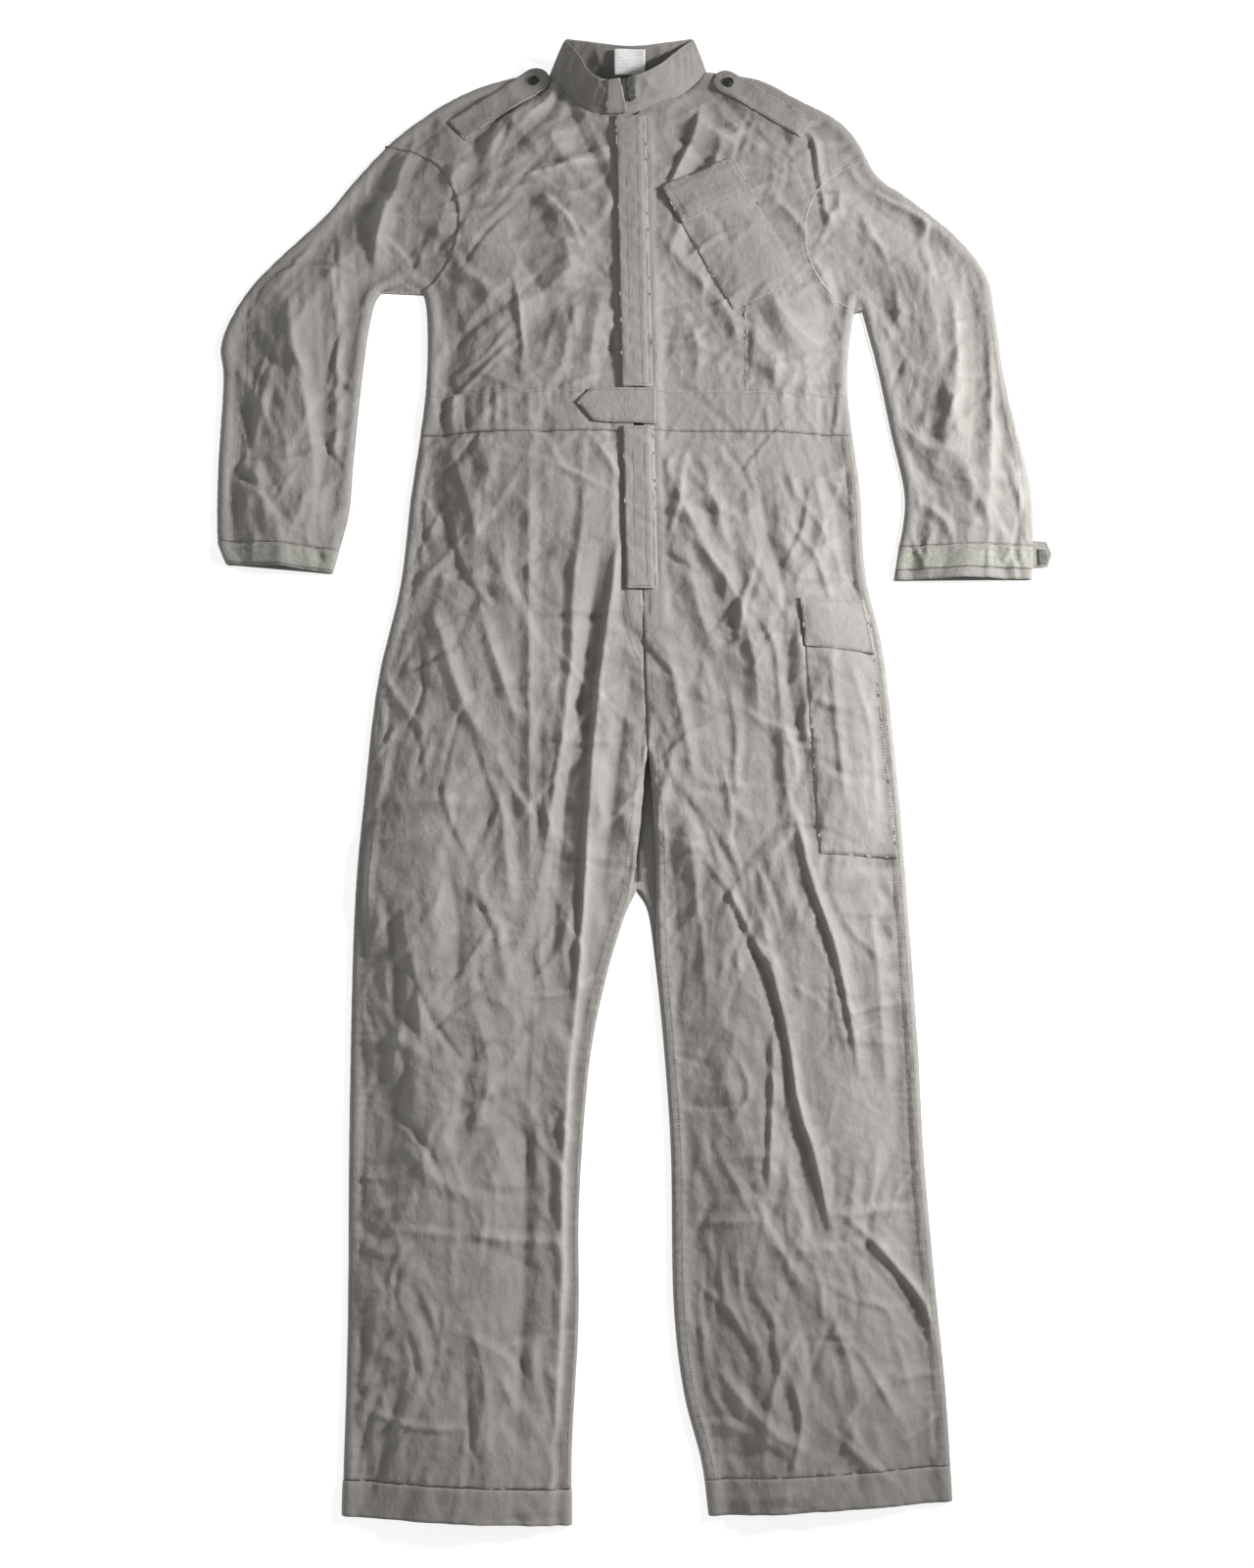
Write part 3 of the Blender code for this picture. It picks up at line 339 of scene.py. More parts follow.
def arc(centre, start, end, radius):
    """Points on a circle from the bearing of start to the bearing of end, the short way."""
    centre = np.array(centre)
    first = math.atan2(start[1] - centre[1], start[0] - centre[0])
    last = math.atan2(end[1] - centre[1], end[0] - centre[0])
    turn = (last - first + math.pi) % (2 * math.pi) - math.pi
    angles = np.linspace(first, first + turn, max(3, round(abs(turn) * radius / 0.004)))
    return centre + radius * np.column_stack([np.cos(angles), np.sin(angles)])


def crossing(curve, centre, radius):
    """The first point, from the curve's end backwards, that lies on the circle."""
    far = np.linalg.norm(curve - np.array(centre), axis=1) - radius
    for i in range(len(curve) - 1, 0, -1):
        if far[i] * far[i - 1] <= 0:
            return curve[i] + (curve[i - 1] - curve[i]) * far[i] / (far[i] - far[i - 1])
    return curve[0]


def zip_at(across, y):
    return np.array([ZIP_X + ZIP_LEAN * (y - ZIP_MID_Y) + across, y])


def looped(ring):
    """The ring with its first corner once more at the end."""
    return np.vstack([ring, ring[:1]])


def shoelace(outline):
    x, y = outline[:, 0], outline[:, 1]
    return 0.5 * float(np.sum(x * np.roll(y, -1) - np.roll(x, -1) * y))


def closed(*parts):
    """One anticlockwise ring from stretches of points, without repeats."""
    points = np.vstack(parts)
    kept = [points[0]]
    for p in points[1:]:
        if np.linalg.norm(p - kept[-1]) > 0.0006:
            kept.append(p)
    while np.linalg.norm(kept[-1] - kept[0]) < 0.0006:
        kept.pop()
    ring = np.array(kept)
    return ring if shoelace(ring) > 0 else ring[::-1]


def inside(points, outline):
    x, y = points[:, 0], points[:, 1]
    odd = np.zeros(len(points), bool)
    for a, b in zip(outline, np.roll(outline, -1, axis=0)):
        if a[1] != b[1]:
            crosses = (a[1] > y) != (b[1] > y)
            odd ^= crosses & (x < a[0] + (y - a[1]) / (b[1] - a[1]) * (b[0] - a[0]))
    return odd


def parallel(curve, offset):
    """A curve moved sideways, to the left of travel."""
    ahead = np.gradient(curve, axis=0)
    ahead /= np.linalg.norm(ahead, axis=1)[:, None] + 1e-12
    return curve + offset * np.column_stack([-ahead[:, 1], ahead[:, 0]])


def inset(outline, gap):
    """A ring moved inwards, with its corners kept."""
    before = outline - np.roll(outline, 1, axis=0)
    after = np.roll(outline, -1, axis=0) - outline
    before /= np.linalg.norm(before, axis=1)[:, None] + 1e-12
    after /= np.linalg.norm(after, axis=1)[:, None] + 1e-12
    way = np.column_stack([-before[:, 1] - after[:, 1], before[:, 0] + after[:, 0]])
    way /= np.linalg.norm(way, axis=1)[:, None] + 1e-12
    sine = np.maximum(0.45, way[:, 0] * -before[:, 1] + way[:, 1] * before[:, 0])
    return outline + way * (gap / sine)[:, None]


SIDES = {
    "side_right": smooth(SIDE_RIGHT), "arm_inner_right": smooth(ARM_INNER_RIGHT),
    "arm_outer_right": smooth(ARM_OUTER_RIGHT), "inseam_right": smooth(INSEAM_RIGHT),
    "side_left": smooth(SIDE_LEFT), "arm_inner_left": smooth(ARM_INNER_LEFT),
    "arm_outer_left": smooth(ARM_OUTER_LEFT), "inseam_left": smooth(INSEAM_LEFT),
}


FRONT_INSEAMS = {
    "right": smooth(INSEAM_RIGHT[:-2] + GAP_EDGES["right"]),
    "left": smooth(INSEAM_LEFT[:-3] + GAP_EDGES["left"]),
}


def smoothstep(t):
    t = np.clip(t, 0, 1)
    return t * t * (3 - 2 * t)


# The front layer's height field


def nearest_on(curves, points, spacing=0.001):
    """For each point: distance to the nearest curve, and the length along all curves there."""
    dense = []
    lengths = []
    start = 0.0
    for curve in curves:
        steps = np.linalg.norm(np.diff(curve, axis=0), axis=1)
        along = np.concatenate([[0], np.cumsum(steps)])
        spots = np.arange(0, along[-1] + spacing / 2, spacing)
        dense.append(np.column_stack([np.interp(spots, along, curve[:, i]) for i in range(2)]))
        lengths.append(spots + start)
        start += along[-1] + 1.0
    dense = np.vstack(dense)
    lengths = np.concatenate(lengths)
    tree = kdtree.KDTree(len(dense))
    for i, p in enumerate(dense):
        tree.insert((p[0], p[1], 0), i)
    tree.balance()
    found = np.array([tree.find((p[0], p[1], 0))[1:3] for p in points])
    return found[:, 1], lengths[found[:, 0].astype(int)]


def grid_axes():
    counts = np.round((GRID_HIGH - GRID_LOW) / GRID).astype(int) + 1
    return [GRID_LOW[i] + GRID * np.arange(counts[i]) for i in range(2)]


def dome(d):
    """Height of the front layer at a distance from the folded side, before any crease."""
    roll = np.sqrt(np.clip(1 - (1 - np.clip(d / 0.007, 0, 1)) ** 2, 0, 1))
    return EDGE + 0.0045 * roll + (TOP - EDGE - 0.0045) * smoothstep(d / 0.095) ** 0.8


def add_crease(heights, xs, ys, crease, power=1.15, round_top=0.0005):
    """Adds a crease to a grid of heights: two sloping sides that meet in a line, tapered to both ends."""
    height, left, right, line = crease
    line = smooth(line, 0.006)
    reach = max(left, right)
    i, i_end = np.searchsorted(xs, (line[:, 0].min() - reach, line[:, 0].max() + reach))
    j, j_end = np.searchsorted(ys, (line[:, 1].min() - reach, line[:, 1].max() + reach))
    if i == i_end or j == j_end:
        return
    x, y = xs[None, i:i_end], ys[j:j_end, None]
    best = np.full((j_end - j, i_end - i), 9.0)
    side = np.zeros(best.shape)
    along = np.zeros(best.shape)
    start = 0.0
    for a, b in zip(line, line[1:]):
        step = float(np.linalg.norm(b - a))
        way = (b - a) / step
        t = np.clip((x - a[0]) * way[0] + (y - a[1]) * way[1], 0, step)
        off_x, off_y = x - a[0] - t * way[0], y - a[1] - t * way[1]
        far = np.hypot(off_x, off_y)
        closer = far < best
        best[closer] = far[closer]
        side[closer] = (way[0] * off_y - way[1] * off_x)[closer]
        along[closer] = (start + t)[closer]
        start += step
    width = np.where(side > 0, left, right)
    far = np.sqrt(best**2 + round_top**2) - round_top
    shape = np.clip(1 - far / width, 0, 1) ** power
    taper = np.sqrt(np.clip(np.minimum(along, start - along) / start / 0.32, 0, 1))
    heights[j:j_end, i:i_end] += height * shape * taper


def small_creases(rng, outlines):
    """Short random creases, mostly along the body, as washed and packed cotton has."""
    spots = rng.uniform(GRID_LOW, GRID_HIGH, (3 * SMALL_CREASES, 2))
    spots = spots[np.any([inside(spots, ring) for ring in outlines], axis=0)][:SMALL_CREASES]
    out = []
    for x, y in spots:
        length = rng.uniform(0.018, 0.125)
        turn = rng.normal(0, 0.45)
        if rng.random() < 0.25:
            turn += 1.35
        elif y > WAIST_TOP_Y and abs(x) < 0.24:
            turn += 0.95 if rng.random() < 0.65 else -0.7
        bend = rng.normal(0, 0.30)
        height = rng.uniform(0.0003, 0.0017) * (length / 0.06) ** 0.7
        sign = 1 if rng.random() < 0.60 else -1
        width = rng.uniform(0.0035, 0.0110)
        points = [
            (x + length * (s - 0.5) * math.sin(turn + bend * (s - 0.5)),
             y + length * (s - 0.5) * math.cos(turn + bend * (s - 0.5)))
            for s in (0.0, 0.5, 1.0)
        ]
        widths = (width, width * rng.uniform(1.0, 3.2))
        out.append((sign * height, *(widths if rng.random() < 0.5 else widths[::-1]), points))
    return out


def lattice_noise(rng, points, size, stretch, turn):
    """Smooth noise of about unit range. Its cells are size across and stretch times as long."""
    c, s = math.cos(turn), math.sin(turn)
    u = (points[:, 0] * c + points[:, 1] * s) / size + 40
    v = (-points[:, 0] * s + points[:, 1] * c) / (size * stretch) + 40
    values = rng.normal(0, 1, (256, 256))
    i, j = np.floor(u).astype(int), np.floor(v).astype(int)
    out = np.zeros(len(points))
    for di, wi in enumerate(spline_weights(u - i)):
        for dj, wj in enumerate(spline_weights(v - j)):
            out += wi * wj * values[(j + dj) % 256, (i + di) % 256]
    return out * 2.2


def crumple(rng, points):
    """Facets that meet in narrow ridges and narrow valleys, at several sizes, over slow swells."""
    height = 0.0030 * lattice_noise(rng, points, 0.150, 1.4, 0.3)
    bend = 0.010 * np.column_stack([lattice_noise(rng, points, 0.07, 1.0, 0.4 * k) for k in (0, 1)])
    bent = points + bend
    for size, share, stretch, turn in (
        (0.085, 0.0026, 2.8, 0.12), (0.056, 0.0018, 2.3, -0.35), (0.036, 0.0011, 2.0, 0.5),
        (0.023, 0.0007, 1.7, -0.8), (0.014, 0.00040, 1.4, 0.2),
    ):
        one = lattice_noise(rng, bent, size, stretch, turn)
        two = lattice_noise(rng, bent, size, stretch, turn + 0.8)
        height += share * (0.55 - np.minimum(1.4, np.abs(one)))
        height -= 0.8 * share * (0.55 - np.minimum(1.4, np.abs(two)))
    return height


def quiet_zones():
    """Stiff places where the creases are weaker: a ring, and the share of crease left."""
    cover = closed(*[straight(zip_at(-0.024, 0.112), zip_at(0.030, 0.112), zip_at(0.026, 0.735),
                              zip_at(-0.024, 0.735), zip_at(-0.024, 0.112))])
    rings = [(cover, 0.10), (np.array(WAIST_TAB), 0.1), (np.array(CHEST_FLAP), 0.25),
             (np.array(CHEST_POCKET), 0.75), (np.array(CARGO_FLAP), 0.2), (np.array(CARGO_POCKET), 0.8)]
    band = closed(straight((-0.26, WAIST_LOW_Y), (0.26, WAIST_LOW_Y), (0.26, WAIST_TOP_Y),
                           (-0.26, WAIST_TOP_Y)))
    rings.append((band, 0.75))
    for base, tip, half in STRAPS.values():
        rings.append((strap_outline(base, tip, half + 0.004), 0.35))
    return rings


def strap_outline(base, tip, half):
    base, tip = np.array(base), np.array(tip)
    along = (tip - base) / np.linalg.norm(tip - base)
    across = np.array([-along[1], along[0]]) * half
    turns = np.linspace(0, math.pi, 13)
    end = [tip - along * half + across * math.cos(a) + along * half * math.sin(a) for a in turns]
    return closed(straight(base + across, end[0]), np.array(end), straight(end[-1], base - across),
                  straight(base - across, base + across))


class Field:
    """Where each point of the flat front layer lies once it is laid down."""

    def __init__(self):
        self.xs, self.ys = grid_axes()
        plan = np.stack(np.meshgrid(self.xs, self.ys), axis=-1)
        points = plan.reshape(-1, 2)
        body, arms = silhouettes()
        self.mask = inside(points, body) | inside(points, arms[0]) | inside(points, arms[1])
        self.mask = self.mask.reshape(plan.shape[:2])
        self.curves = list(SIDES.values())
        far, _ = nearest_on(self.curves, points)
        self.far = far.reshape(plan.shape[:2])
        self.fine_xs = GRID_LOW[0] + FINE * np.arange(2 * len(self.xs) - 1)
        self.fine_ys = GRID_LOW[1] + FINE * np.arange(2 * len(self.ys) - 1)
        folds, share = self.creases([body, *arms])
        even = soften(folds, 9)
        self.sharp = 1.5 * (folds - even)
        base = dome(self.far)
        place = relax(plan, base, even[::2, ::2], self.mask, self.far, share[::2, ::2])
        moved = place - np.dstack([plan, np.zeros(plan.shape[:2])])
        height = np.where(self.mask, moved[..., 2], base)
        calm = soften(height, 30)
        self.shift = np.dstack([moved, (height - soften(height, 6)) / 0.001, calm])
        self.fill_outside()

    def creases(self, rings):
        """The wanted relief on the fine grid, and the share of it that each place keeps."""
        rng = np.random.default_rng(SEED)
        plan = np.stack(np.meshgrid(self.fine_xs, self.fine_ys), axis=-1)
        points = plan.reshape(-1, 2)
        folds = crumple(rng, points).reshape(plan.shape[:2])
        for crease in small_creases(rng, rings):
            add_crease(folds, self.fine_xs, self.fine_ys, crease)
        for height, *rest in CREASES:
            add_crease(folds, self.fine_xs, self.fine_ys, (CREASE_SHARE * height, *rest))
        share = np.ones(len(points))
        for ring, left in quiet_zones():
            low, high = ring.min(0) - 0.01, ring.max(0) + 0.01
            near = np.flatnonzero(((points > low) & (points < high)).all(1))
            share[near] *= np.where(inside(points[near], ring), left, 1.0)
        share = soften(share.reshape(plan.shape[:2]), 8)
        far = np.zeros(plan.shape[:2])
        far[::2, ::2] = self.far
        far[1::2, ::2] = (self.far[1:] + self.far[:-1]) / 2
        far[:, 1::2] = (far[:, 2::2] + far[:, :-2:2]) / 2
        return folds * share * smoothstep((far - 0.001) / 0.014), share

    def fill_outside(self):
        """Carries the field a few steps past the silhouette, so that it can be sampled there."""
        known = self.mask.copy()
        for _ in range(8):
            total = np.zeros_like(self.shift)
            count = np.zeros(known.shape)
            for axis in (0, 1):
                for step in (1, -1):
                    moved = np.roll(known, step, axis)
                    total += np.roll(self.shift * known[..., None], step, axis)
                    count += moved
            fresh = ~known & (count > 0)
            self.shift[fresh] = total[fresh] / count[fresh][:, None]
            known |= fresh

    def sample(self, points):
        """Cubic B-spline values: displacement, crest (above its surroundings, in mm) and calm height."""
        points = np.asarray(points, float)
        u = (points[:, 0] - self.xs[0]) / GRID
        v = (points[:, 1] - self.ys[0]) / GRID
        i = np.clip(np.floor(u).astype(int), 1, len(self.xs) - 3)
        j = np.clip(np.floor(v).astype(int), 1, len(self.ys) - 3)
        out = np.zeros((len(points), 5))
        for di, wi in enumerate(spline_weights(u - i)):
            for dj, wj in enumerate(spline_weights(v - j)):
                out += (wi * wj)[:, None] * self.shift[j + dj - 1, i + di - 1]
        return out

    def crisp(self, points):
        """The sharp part of the relief, by cubic interpolation on the fine grid."""
        u = (points[:, 0] - self.fine_xs[0]) / FINE
        v = (points[:, 1] - self.fine_ys[0]) / FINE
        i = np.clip(np.floor(u).astype(int), 1, len(self.fine_xs) - 3)
        j = np.clip(np.floor(v).astype(int), 1, len(self.fine_ys) - 3)
        out = np.zeros(len(points))
        for di, wi in enumerate(cubic_weights(u - i)):
            for dj, wj in enumerate(cubic_weights(v - j)):
                out += wi * wj * self.sharp[j + dj - 1, i + di - 1]
        return out

    def crest(self, points):
        """How far each point stands out of its surroundings, in mm."""
        return 0.8 * self.sample(points)[:, 3] + 700 * self.crisp(points)

    def front(self, points, lift=0.0):
        """Places points of the flat front layer. Near a folded side they follow its roll exactly."""
        points = np.asarray(points, float)
        far, _ = nearest_on(self.curves, points)
        moved = self.sample(points)
        share = smoothstep((far - 0.003) / 0.012)
        out = np.zeros((len(points), 3))
        out[:, :2] = points + moved[:, :2] * share[:, None]
        out[:, 2] = dome(far) * (1 - share) + (moved[:, 2] + self.crisp(points)) * share
        out[:, 2] += seam_relief(points) + lift
        across = points[:, 0] - ZIP_X - ZIP_LEAN * (points[:, 1] - ZIP_MID_Y)
        under_pull = smoothstep((0.0095 - np.abs(across)) / 0.004)
        under_pull = under_pull * smoothstep((points[:, 1] - 0.126) / 0.008)
        under_pull *= points[:, 1] < 0.1625
        out[:, 2] -= np.maximum(out[:, 2] - (TOP - 0.0006), 0) * under_pull
        near = np.flatnonzero((np.abs(points[:, 0] - GAP_TOP[0]) < 0.045) & (points[:, 1] < GAP_TOP[1])
                              & (points[:, 1] > -0.250))
        if len(near):
            edge, _ = nearest_on([smooth(line) for line in GAP_EDGES.values()], points[near])
            deep = smoothstep((GAP_TOP[1] - points[near, 1]) / 0.045)
            roll = np.sqrt(1 - (1 - np.clip(edge / 0.0075, 0, 1)) ** 2)
            out[near, 2] -= (out[near, 2] - EDGE - 0.002) * deep * (1 - roll)
        return out

    def over(self, points, lift):
        """Places points of a stiff trim that bridges the small creases under it."""
        points = np.asarray(points, float)
        moved = self.sample(points)
        under = moved[:, 2] + self.crisp(points)
        height = np.maximum(0.35 * under + 0.65 * moved[:, 4], under - 0.0005)
        return np.column_stack([points, height + lift])


def cubic_weights(t):
    return (
        -t / 2 + t**2 - t**3 / 2, 1 - 2.5 * t**2 + 1.5 * t**3,
        t / 2 + 2 * t**2 - 1.5 * t**3, (t**3 - t**2) / 2,
    )


def spline_weights(t):
    return ((1 - t) ** 3 / 6, (3 * t**3 - 6 * t**2 + 4) / 6, (-3 * t**3 + 3 * t**2 + 3 * t + 1) / 6, t**3 / 6)


def soften(values, times):
    for _ in range(times):
        values = (values + np.roll(values, 1, 0) + np.roll(values, -1, 0)
                  + np.roll(values, 1, 1) + np.roll(values, -1, 1)) / 5
    return values


def silhouettes():
    """Rings of the body with both legs, and of each arm."""
    def shoulder(side):
        curve = SIDES["arm_outer_" + side]
        return curve[curve[:, 1] > 0.700]

    legs = closed(
        SIDES["side_right"], shoulder("right"), smooth(NECK_FRONT), shoulder("left")[::-1],
        SIDES["side_left"][::-1], SIDES["inseam_left"], SIDES["inseam_right"][::-1],
    )
    arms = []
    for side in ("right", "left"):
        outer = SIDES["arm_outer_" + side]
        arms.append(closed(outer[outer[:, 1] < 0.715], SIDES["arm_inner_" + side][::-1]))
    return legs, arms


def relax(plan, base, folds, mask, far, share):
    """Lays a cloth with the creases' extra length over the dome: distance constraints, weight, support."""
    place = np.dstack([plan, base + folds])
    longer = np.dstack([plan, base + 1.06 * folds])
    free = (mask & (far > 0.007)).astype(float) * np.where(share < 0.2, 0.15, 1.0)
    support = base - 0.0065 * smoothstep((far - 0.006) / 0.02) * share
    links = []
    for di, dj, stiff, growth in ((0, 1, 1.0, 1.0012), (1, 0, 1.0, 1.0012), (1, 1, 0.6, 1.0008),
                                  (1, -1, 0.6, 1.0008), (0, 2, 0.10, 1.0), (2, 0, 0.10, 1.0)):
        for start in range(2 * max(di, abs(dj))):
            links.append(link(place, longer, mask, free, di, dj, stiff, growth, start))
    rounds = 160
    for _ in range(rounds):
        place[..., 2] -= 0.00002 * free
        for one, two, rest, weight_one, weight_two in links:
            gap = two - one
            size = np.sqrt((gap**2).sum(-1)) + 1e-9
            pull = ((size - rest) / size)[..., None] * gap
            one += weight_one[..., None] * pull
            two -= weight_two[..., None] * pull
        low = place[..., 2] < support
        place[..., 2][low] = support[low]
    return place


def link(place, longer, mask, free, di, dj, stiff, growth, start):
    """One colour of constraints: views of both ends, rest lengths and weights. No point is in it twice."""
    high, wide = mask.shape
    back = max(-dj, 0)
    first = (slice(0, high - di), slice(back, wide - max(dj, 0)))
    second = (slice(di, high), slice(back + dj, wide - back if dj < 0 else wide))
    step = 2 * max(di, abs(dj))
    pick = (slice(start, None, step), slice(None)) if di else (slice(None), slice(start, None, step))
    rest = np.linalg.norm(longer[second] - longer[first], axis=-1)[pick] * growth
    both = (mask[first] & mask[second])[pick]
    one, two = free[first][pick], free[second][pick]
    total = one + two
    scale = np.where(both & (total > 0), stiff / np.maximum(total, 1e-9), 0.0)
    return place[first][pick], place[second][pick], rest, one * scale, two * scale


SEAMS = []


def seam_relief(points):
    """Puckers that run along the sewn lines."""
    if not SEAMS:
        return np.zeros(len(points))
    far, along = nearest_on(SEAMS, points, 0.002)
    wave = np.sin(along / 0.0105 * 2 * math.pi + 1.7 * np.sin(along / 0.037)) * np.sin(along / 0.0231 + 0.6)
    groove = -0.0008 * np.exp(-((far / 0.0021) ** 2))
    return 0.00042 * wave * np.exp(-((far - 0.004) ** 2) / 0.006**2) + groove


# Meshes


def fill(outline, spacing):
    """Points and faces over a ring: a square grid inside, joined to the ring by triangles."""
    low = outline.min(0) - spacing
    counts = np.ceil((outline.max(0) + spacing - low) / spacing).astype(int) + 1
    grid = np.stack(np.meshgrid(*[low[i] + spacing * np.arange(counts[i]) for i in range(2)]), axis=-1)
    flat = grid.reshape(-1, 2)
    kept = inside(flat, outline)
    picked = np.flatnonzero(kept)
    far, _ = nearest_on([looped(outline)], flat[picked])
    kept[picked[far < 0.62 * spacing]] = False
    kept = kept.reshape(grid.shape[:2])
    cells = kept[:-1, :-1] & kept[1:, :-1] & kept[:-1, 1:] & kept[1:, 1:]
    wide = grid.shape[1]
    rows, columns = np.nonzero(cells)
    corner = rows * wide + columns
    quads = np.column_stack([corner, corner + 1, corner + wide + 1, corner + wide])
    ends = np.vstack([quads[:, [0, 1]], quads[:, [1, 2]], quads[:, [2, 3]], quads[:, [3, 0]]])
    keys = {tuple(e) for e in ends.tolist()}
    rim = [e for e in keys if (e[1], e[0]) not in keys]
    ring_nodes = sorted({n for e in rim for n in e})
    index = {n: i + len(outline) for i, n in enumerate(ring_nodes)}
    points = [Vector(p) for p in outline] + [Vector(flat[n]) for n in ring_nodes]
    edges = [(i, (i + 1) % len(outline)) for i in range(len(outline))]
    edges += [(index[a], index[b]) for a, b in rim]
    coords, _, triangles, origins, *_ = delaunay_2d_cdt(points, edges, [], 0, 1e-7)
    coords = np.array([(p.x, p.y) for p in coords])
    triangles = np.array([t for t in triangles if len(t) == 3], int)
    middle = coords[triangles].mean(1)
    spot = np.floor((middle - low) / spacing).astype(int)
    spot = np.clip(spot, 0, np.array(cells.shape)[::-1] - 1)
    triangles = triangles[inside(middle, outline) & ~cells[spot[:, 1], spot[:, 0]]]
    used = np.unique(quads)
    place = {n: i for i, n in enumerate(used.tolist())}
    total = [flat[used]]
    number = np.zeros(len(coords), int)
    fresh = len(used)
    for i, source in enumerate(origins):
        node = [ring_nodes[s - len(outline)] for s in source if s >= len(outline)]
        if node:
            number[i] = place[node[0]]
        else:
            number[i] = fresh
            total.append(coords[i][None])
            fresh += 1
    mapping = np.zeros(flat.shape[0], int)
    mapping[used] = np.arange(len(used))
    return np.vstack(total), mapping[quads].tolist() + number[triangles].tolist()


def make_mesh(name, points, faces, material, plan=None, crest=None, thickness=0.0, offset=-1.0):
    """An object with smooth faces and, where plan is given, a UV map in metres."""
    data = bpy.data.meshes.new(name)
    data.from_pydata(np.asarray(points).tolist(), [], [list(f) for f in faces])
    data.shade_smooth()
    data.materials.append(material)
    if plan is not None:
        corners = np.zeros(len(data.loops), np.int32)
        data.loops.foreach_get("vertex_index", corners)
        layer = data.uv_layers.new(name="plan")
        layer.uv.foreach_set("vector", np.asarray(plan, np.float32)[corners].ravel())
    if crest is not None:
        attribute = data.attributes.new("crest", "FLOAT", "POINT")
        attribute.data.foreach_set("value", np.asarray(crest, np.float32))
    obj = bpy.data.objects.new(name, data)
    bpy.context.scene.collection.objects.link(obj)
    if thickness:
        solid = obj.modifiers.new("thickness", "SOLIDIFY")
        solid.thickness = thickness
        solid.offset = offset
    return obj


def settle(obj, carrier):
    """Fixes a piece to a body; for a piece given two bodies, only bakes its transform into its mesh."""
    if isinstance(carrier, str):
        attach(obj, carrier)
    else:
        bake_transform(obj)
    return obj


def front_panel(name, outline, lift, carrier="garment", nodes=None):
    plan, faces = fill(outline, MESH)
    place = FIELD.front(plan, lift)
    crest = FIELD.crest(plan)
    obj = make_mesh(name, place, faces, COTTON, plan, crest, CLOTH)
    settle(obj, carrier)
    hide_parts(*(nodes or [name + "_node"]))
    return obj


def back_place(points):
    x, y = points[:, 0], points[:, 1]
    wave = np.sin(x * 31 + 2 * np.sin(y * 9)) * np.sin(y * 23 + 1.5 * np.sin(x * 13))
    far, _ = nearest_on(FIELD.curves, points)
    height = 0.0007 + 0.0006 * (1 + wave) * smoothstep(far / 0.05)
    return np.column_stack([points, height])


def back_panel(name, outline, carrier="garment"):
    plan, faces = fill(outline, BACK_MESH)
    obj = make_mesh(name + "_cloth", back_place(plan), faces, COTTON, plan, np.zeros(len(plan)), CLOTH, 0.0)
    settle(obj, carrier)
    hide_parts(name)
    return obj


def resample(line, pitch):
    steps = np.linalg.norm(np.diff(line, axis=0), axis=1)
    along = np.concatenate([[0], np.cumsum(steps)])
    spots = np.arange(pitch / 2, along[-1] - pitch / 2, pitch)
    return np.column_stack([np.interp(spots, along, line[:, i]) for i in range(line.shape[1])])


def stitch_mesh(name, ends, carrier, width=0.0006, height=0.00045, material=None):
    """Small thread lumps, one for each pair of ends."""
    starts, stops = ends
    along = stops - starts
    side = np.cross(along, (0, 0, 1.0))
    side /= np.linalg.norm(side, axis=1)[:, None] + 1e-12
    up = np.cross(side, along)
    up /= np.linalg.norm(up, axis=1)[:, None] + 1e-12
    rings = [starts - up * 0.0002, stops - up * 0.0002]
    for share in (0.25, 0.75):
        middle = starts + along * share
        rings += [middle - side * width / 2, middle + up * height, middle + side * width / 2]
    points = np.stack(rings, axis=1).reshape(-1, 3)
    shape = [
        (0, 3, 2), (0, 4, 3), (0, 2, 4), (2, 3, 6, 5), (3, 4, 7, 6), (4, 2, 5, 7),
        (1, 5, 6), (1, 6, 7), (1, 7, 5),
    ]
    faces = [tuple(8 * n + i for i in f) for n in range(len(starts)) for f in shape]
    obj = make_mesh(name, points, faces, material or THREAD)
    return settle(obj, carrier)


def stitched(name, lines, surface, carrier="garment", pitch=0.0034, length=0.0024):
    """Rows of stitches along plan lines, laid on a surface."""
    starts, stops = [], []
    for line in lines:
        spots = resample(np.asarray(line, float), pitch)
        if len(spots) < 2:
            continue
        way = np.gradient(spots, axis=0)
        way /= np.linalg.norm(way, axis=1)[:, None] + 1e-12
        starts.append(spots - way * length / 2)
        stops.append(spots + way * length / 2)
    first, last = surface(np.vstack(starts)), surface(np.vstack(stops))
    return stitch_mesh(name, (first, last), carrier)


# Materials


def nodes_of(name, roughness, metallic=0.0):
    material = bpy.data.materials.new(name)
    material.use_nodes = True
    tree = material.node_tree
    shader = tree.nodes["Principled BSDF"]
    shader.inputs["Roughness"].default_value = roughness
    shader.inputs["Metallic"].default_value = metallic
    return material, tree, shader


def node(tree, kind, **values):
    made = tree.nodes.new(kind)
    for key, value in values.items():
        if key in made.inputs:
            made.inputs[key].default_value = value
        else:
            setattr(made, key, value)
    return made


def noise(tree, source, scale, detail=2.0, roughness=0.5, stretch=None):
    made = node(tree, "ShaderNodeTexNoise", Scale=scale, Detail=detail, Roughness=roughness)
    if stretch:
        mapping = node(tree, "ShaderNodeMapping", Scale=stretch[0], Rotation=stretch[1])
        tree.links.new(source, mapping.inputs["Vector"])
        source = mapping.outputs["Vector"]
    tree.links.new(source, made.inputs["Vector"])
    return made.outputs["Fac"]


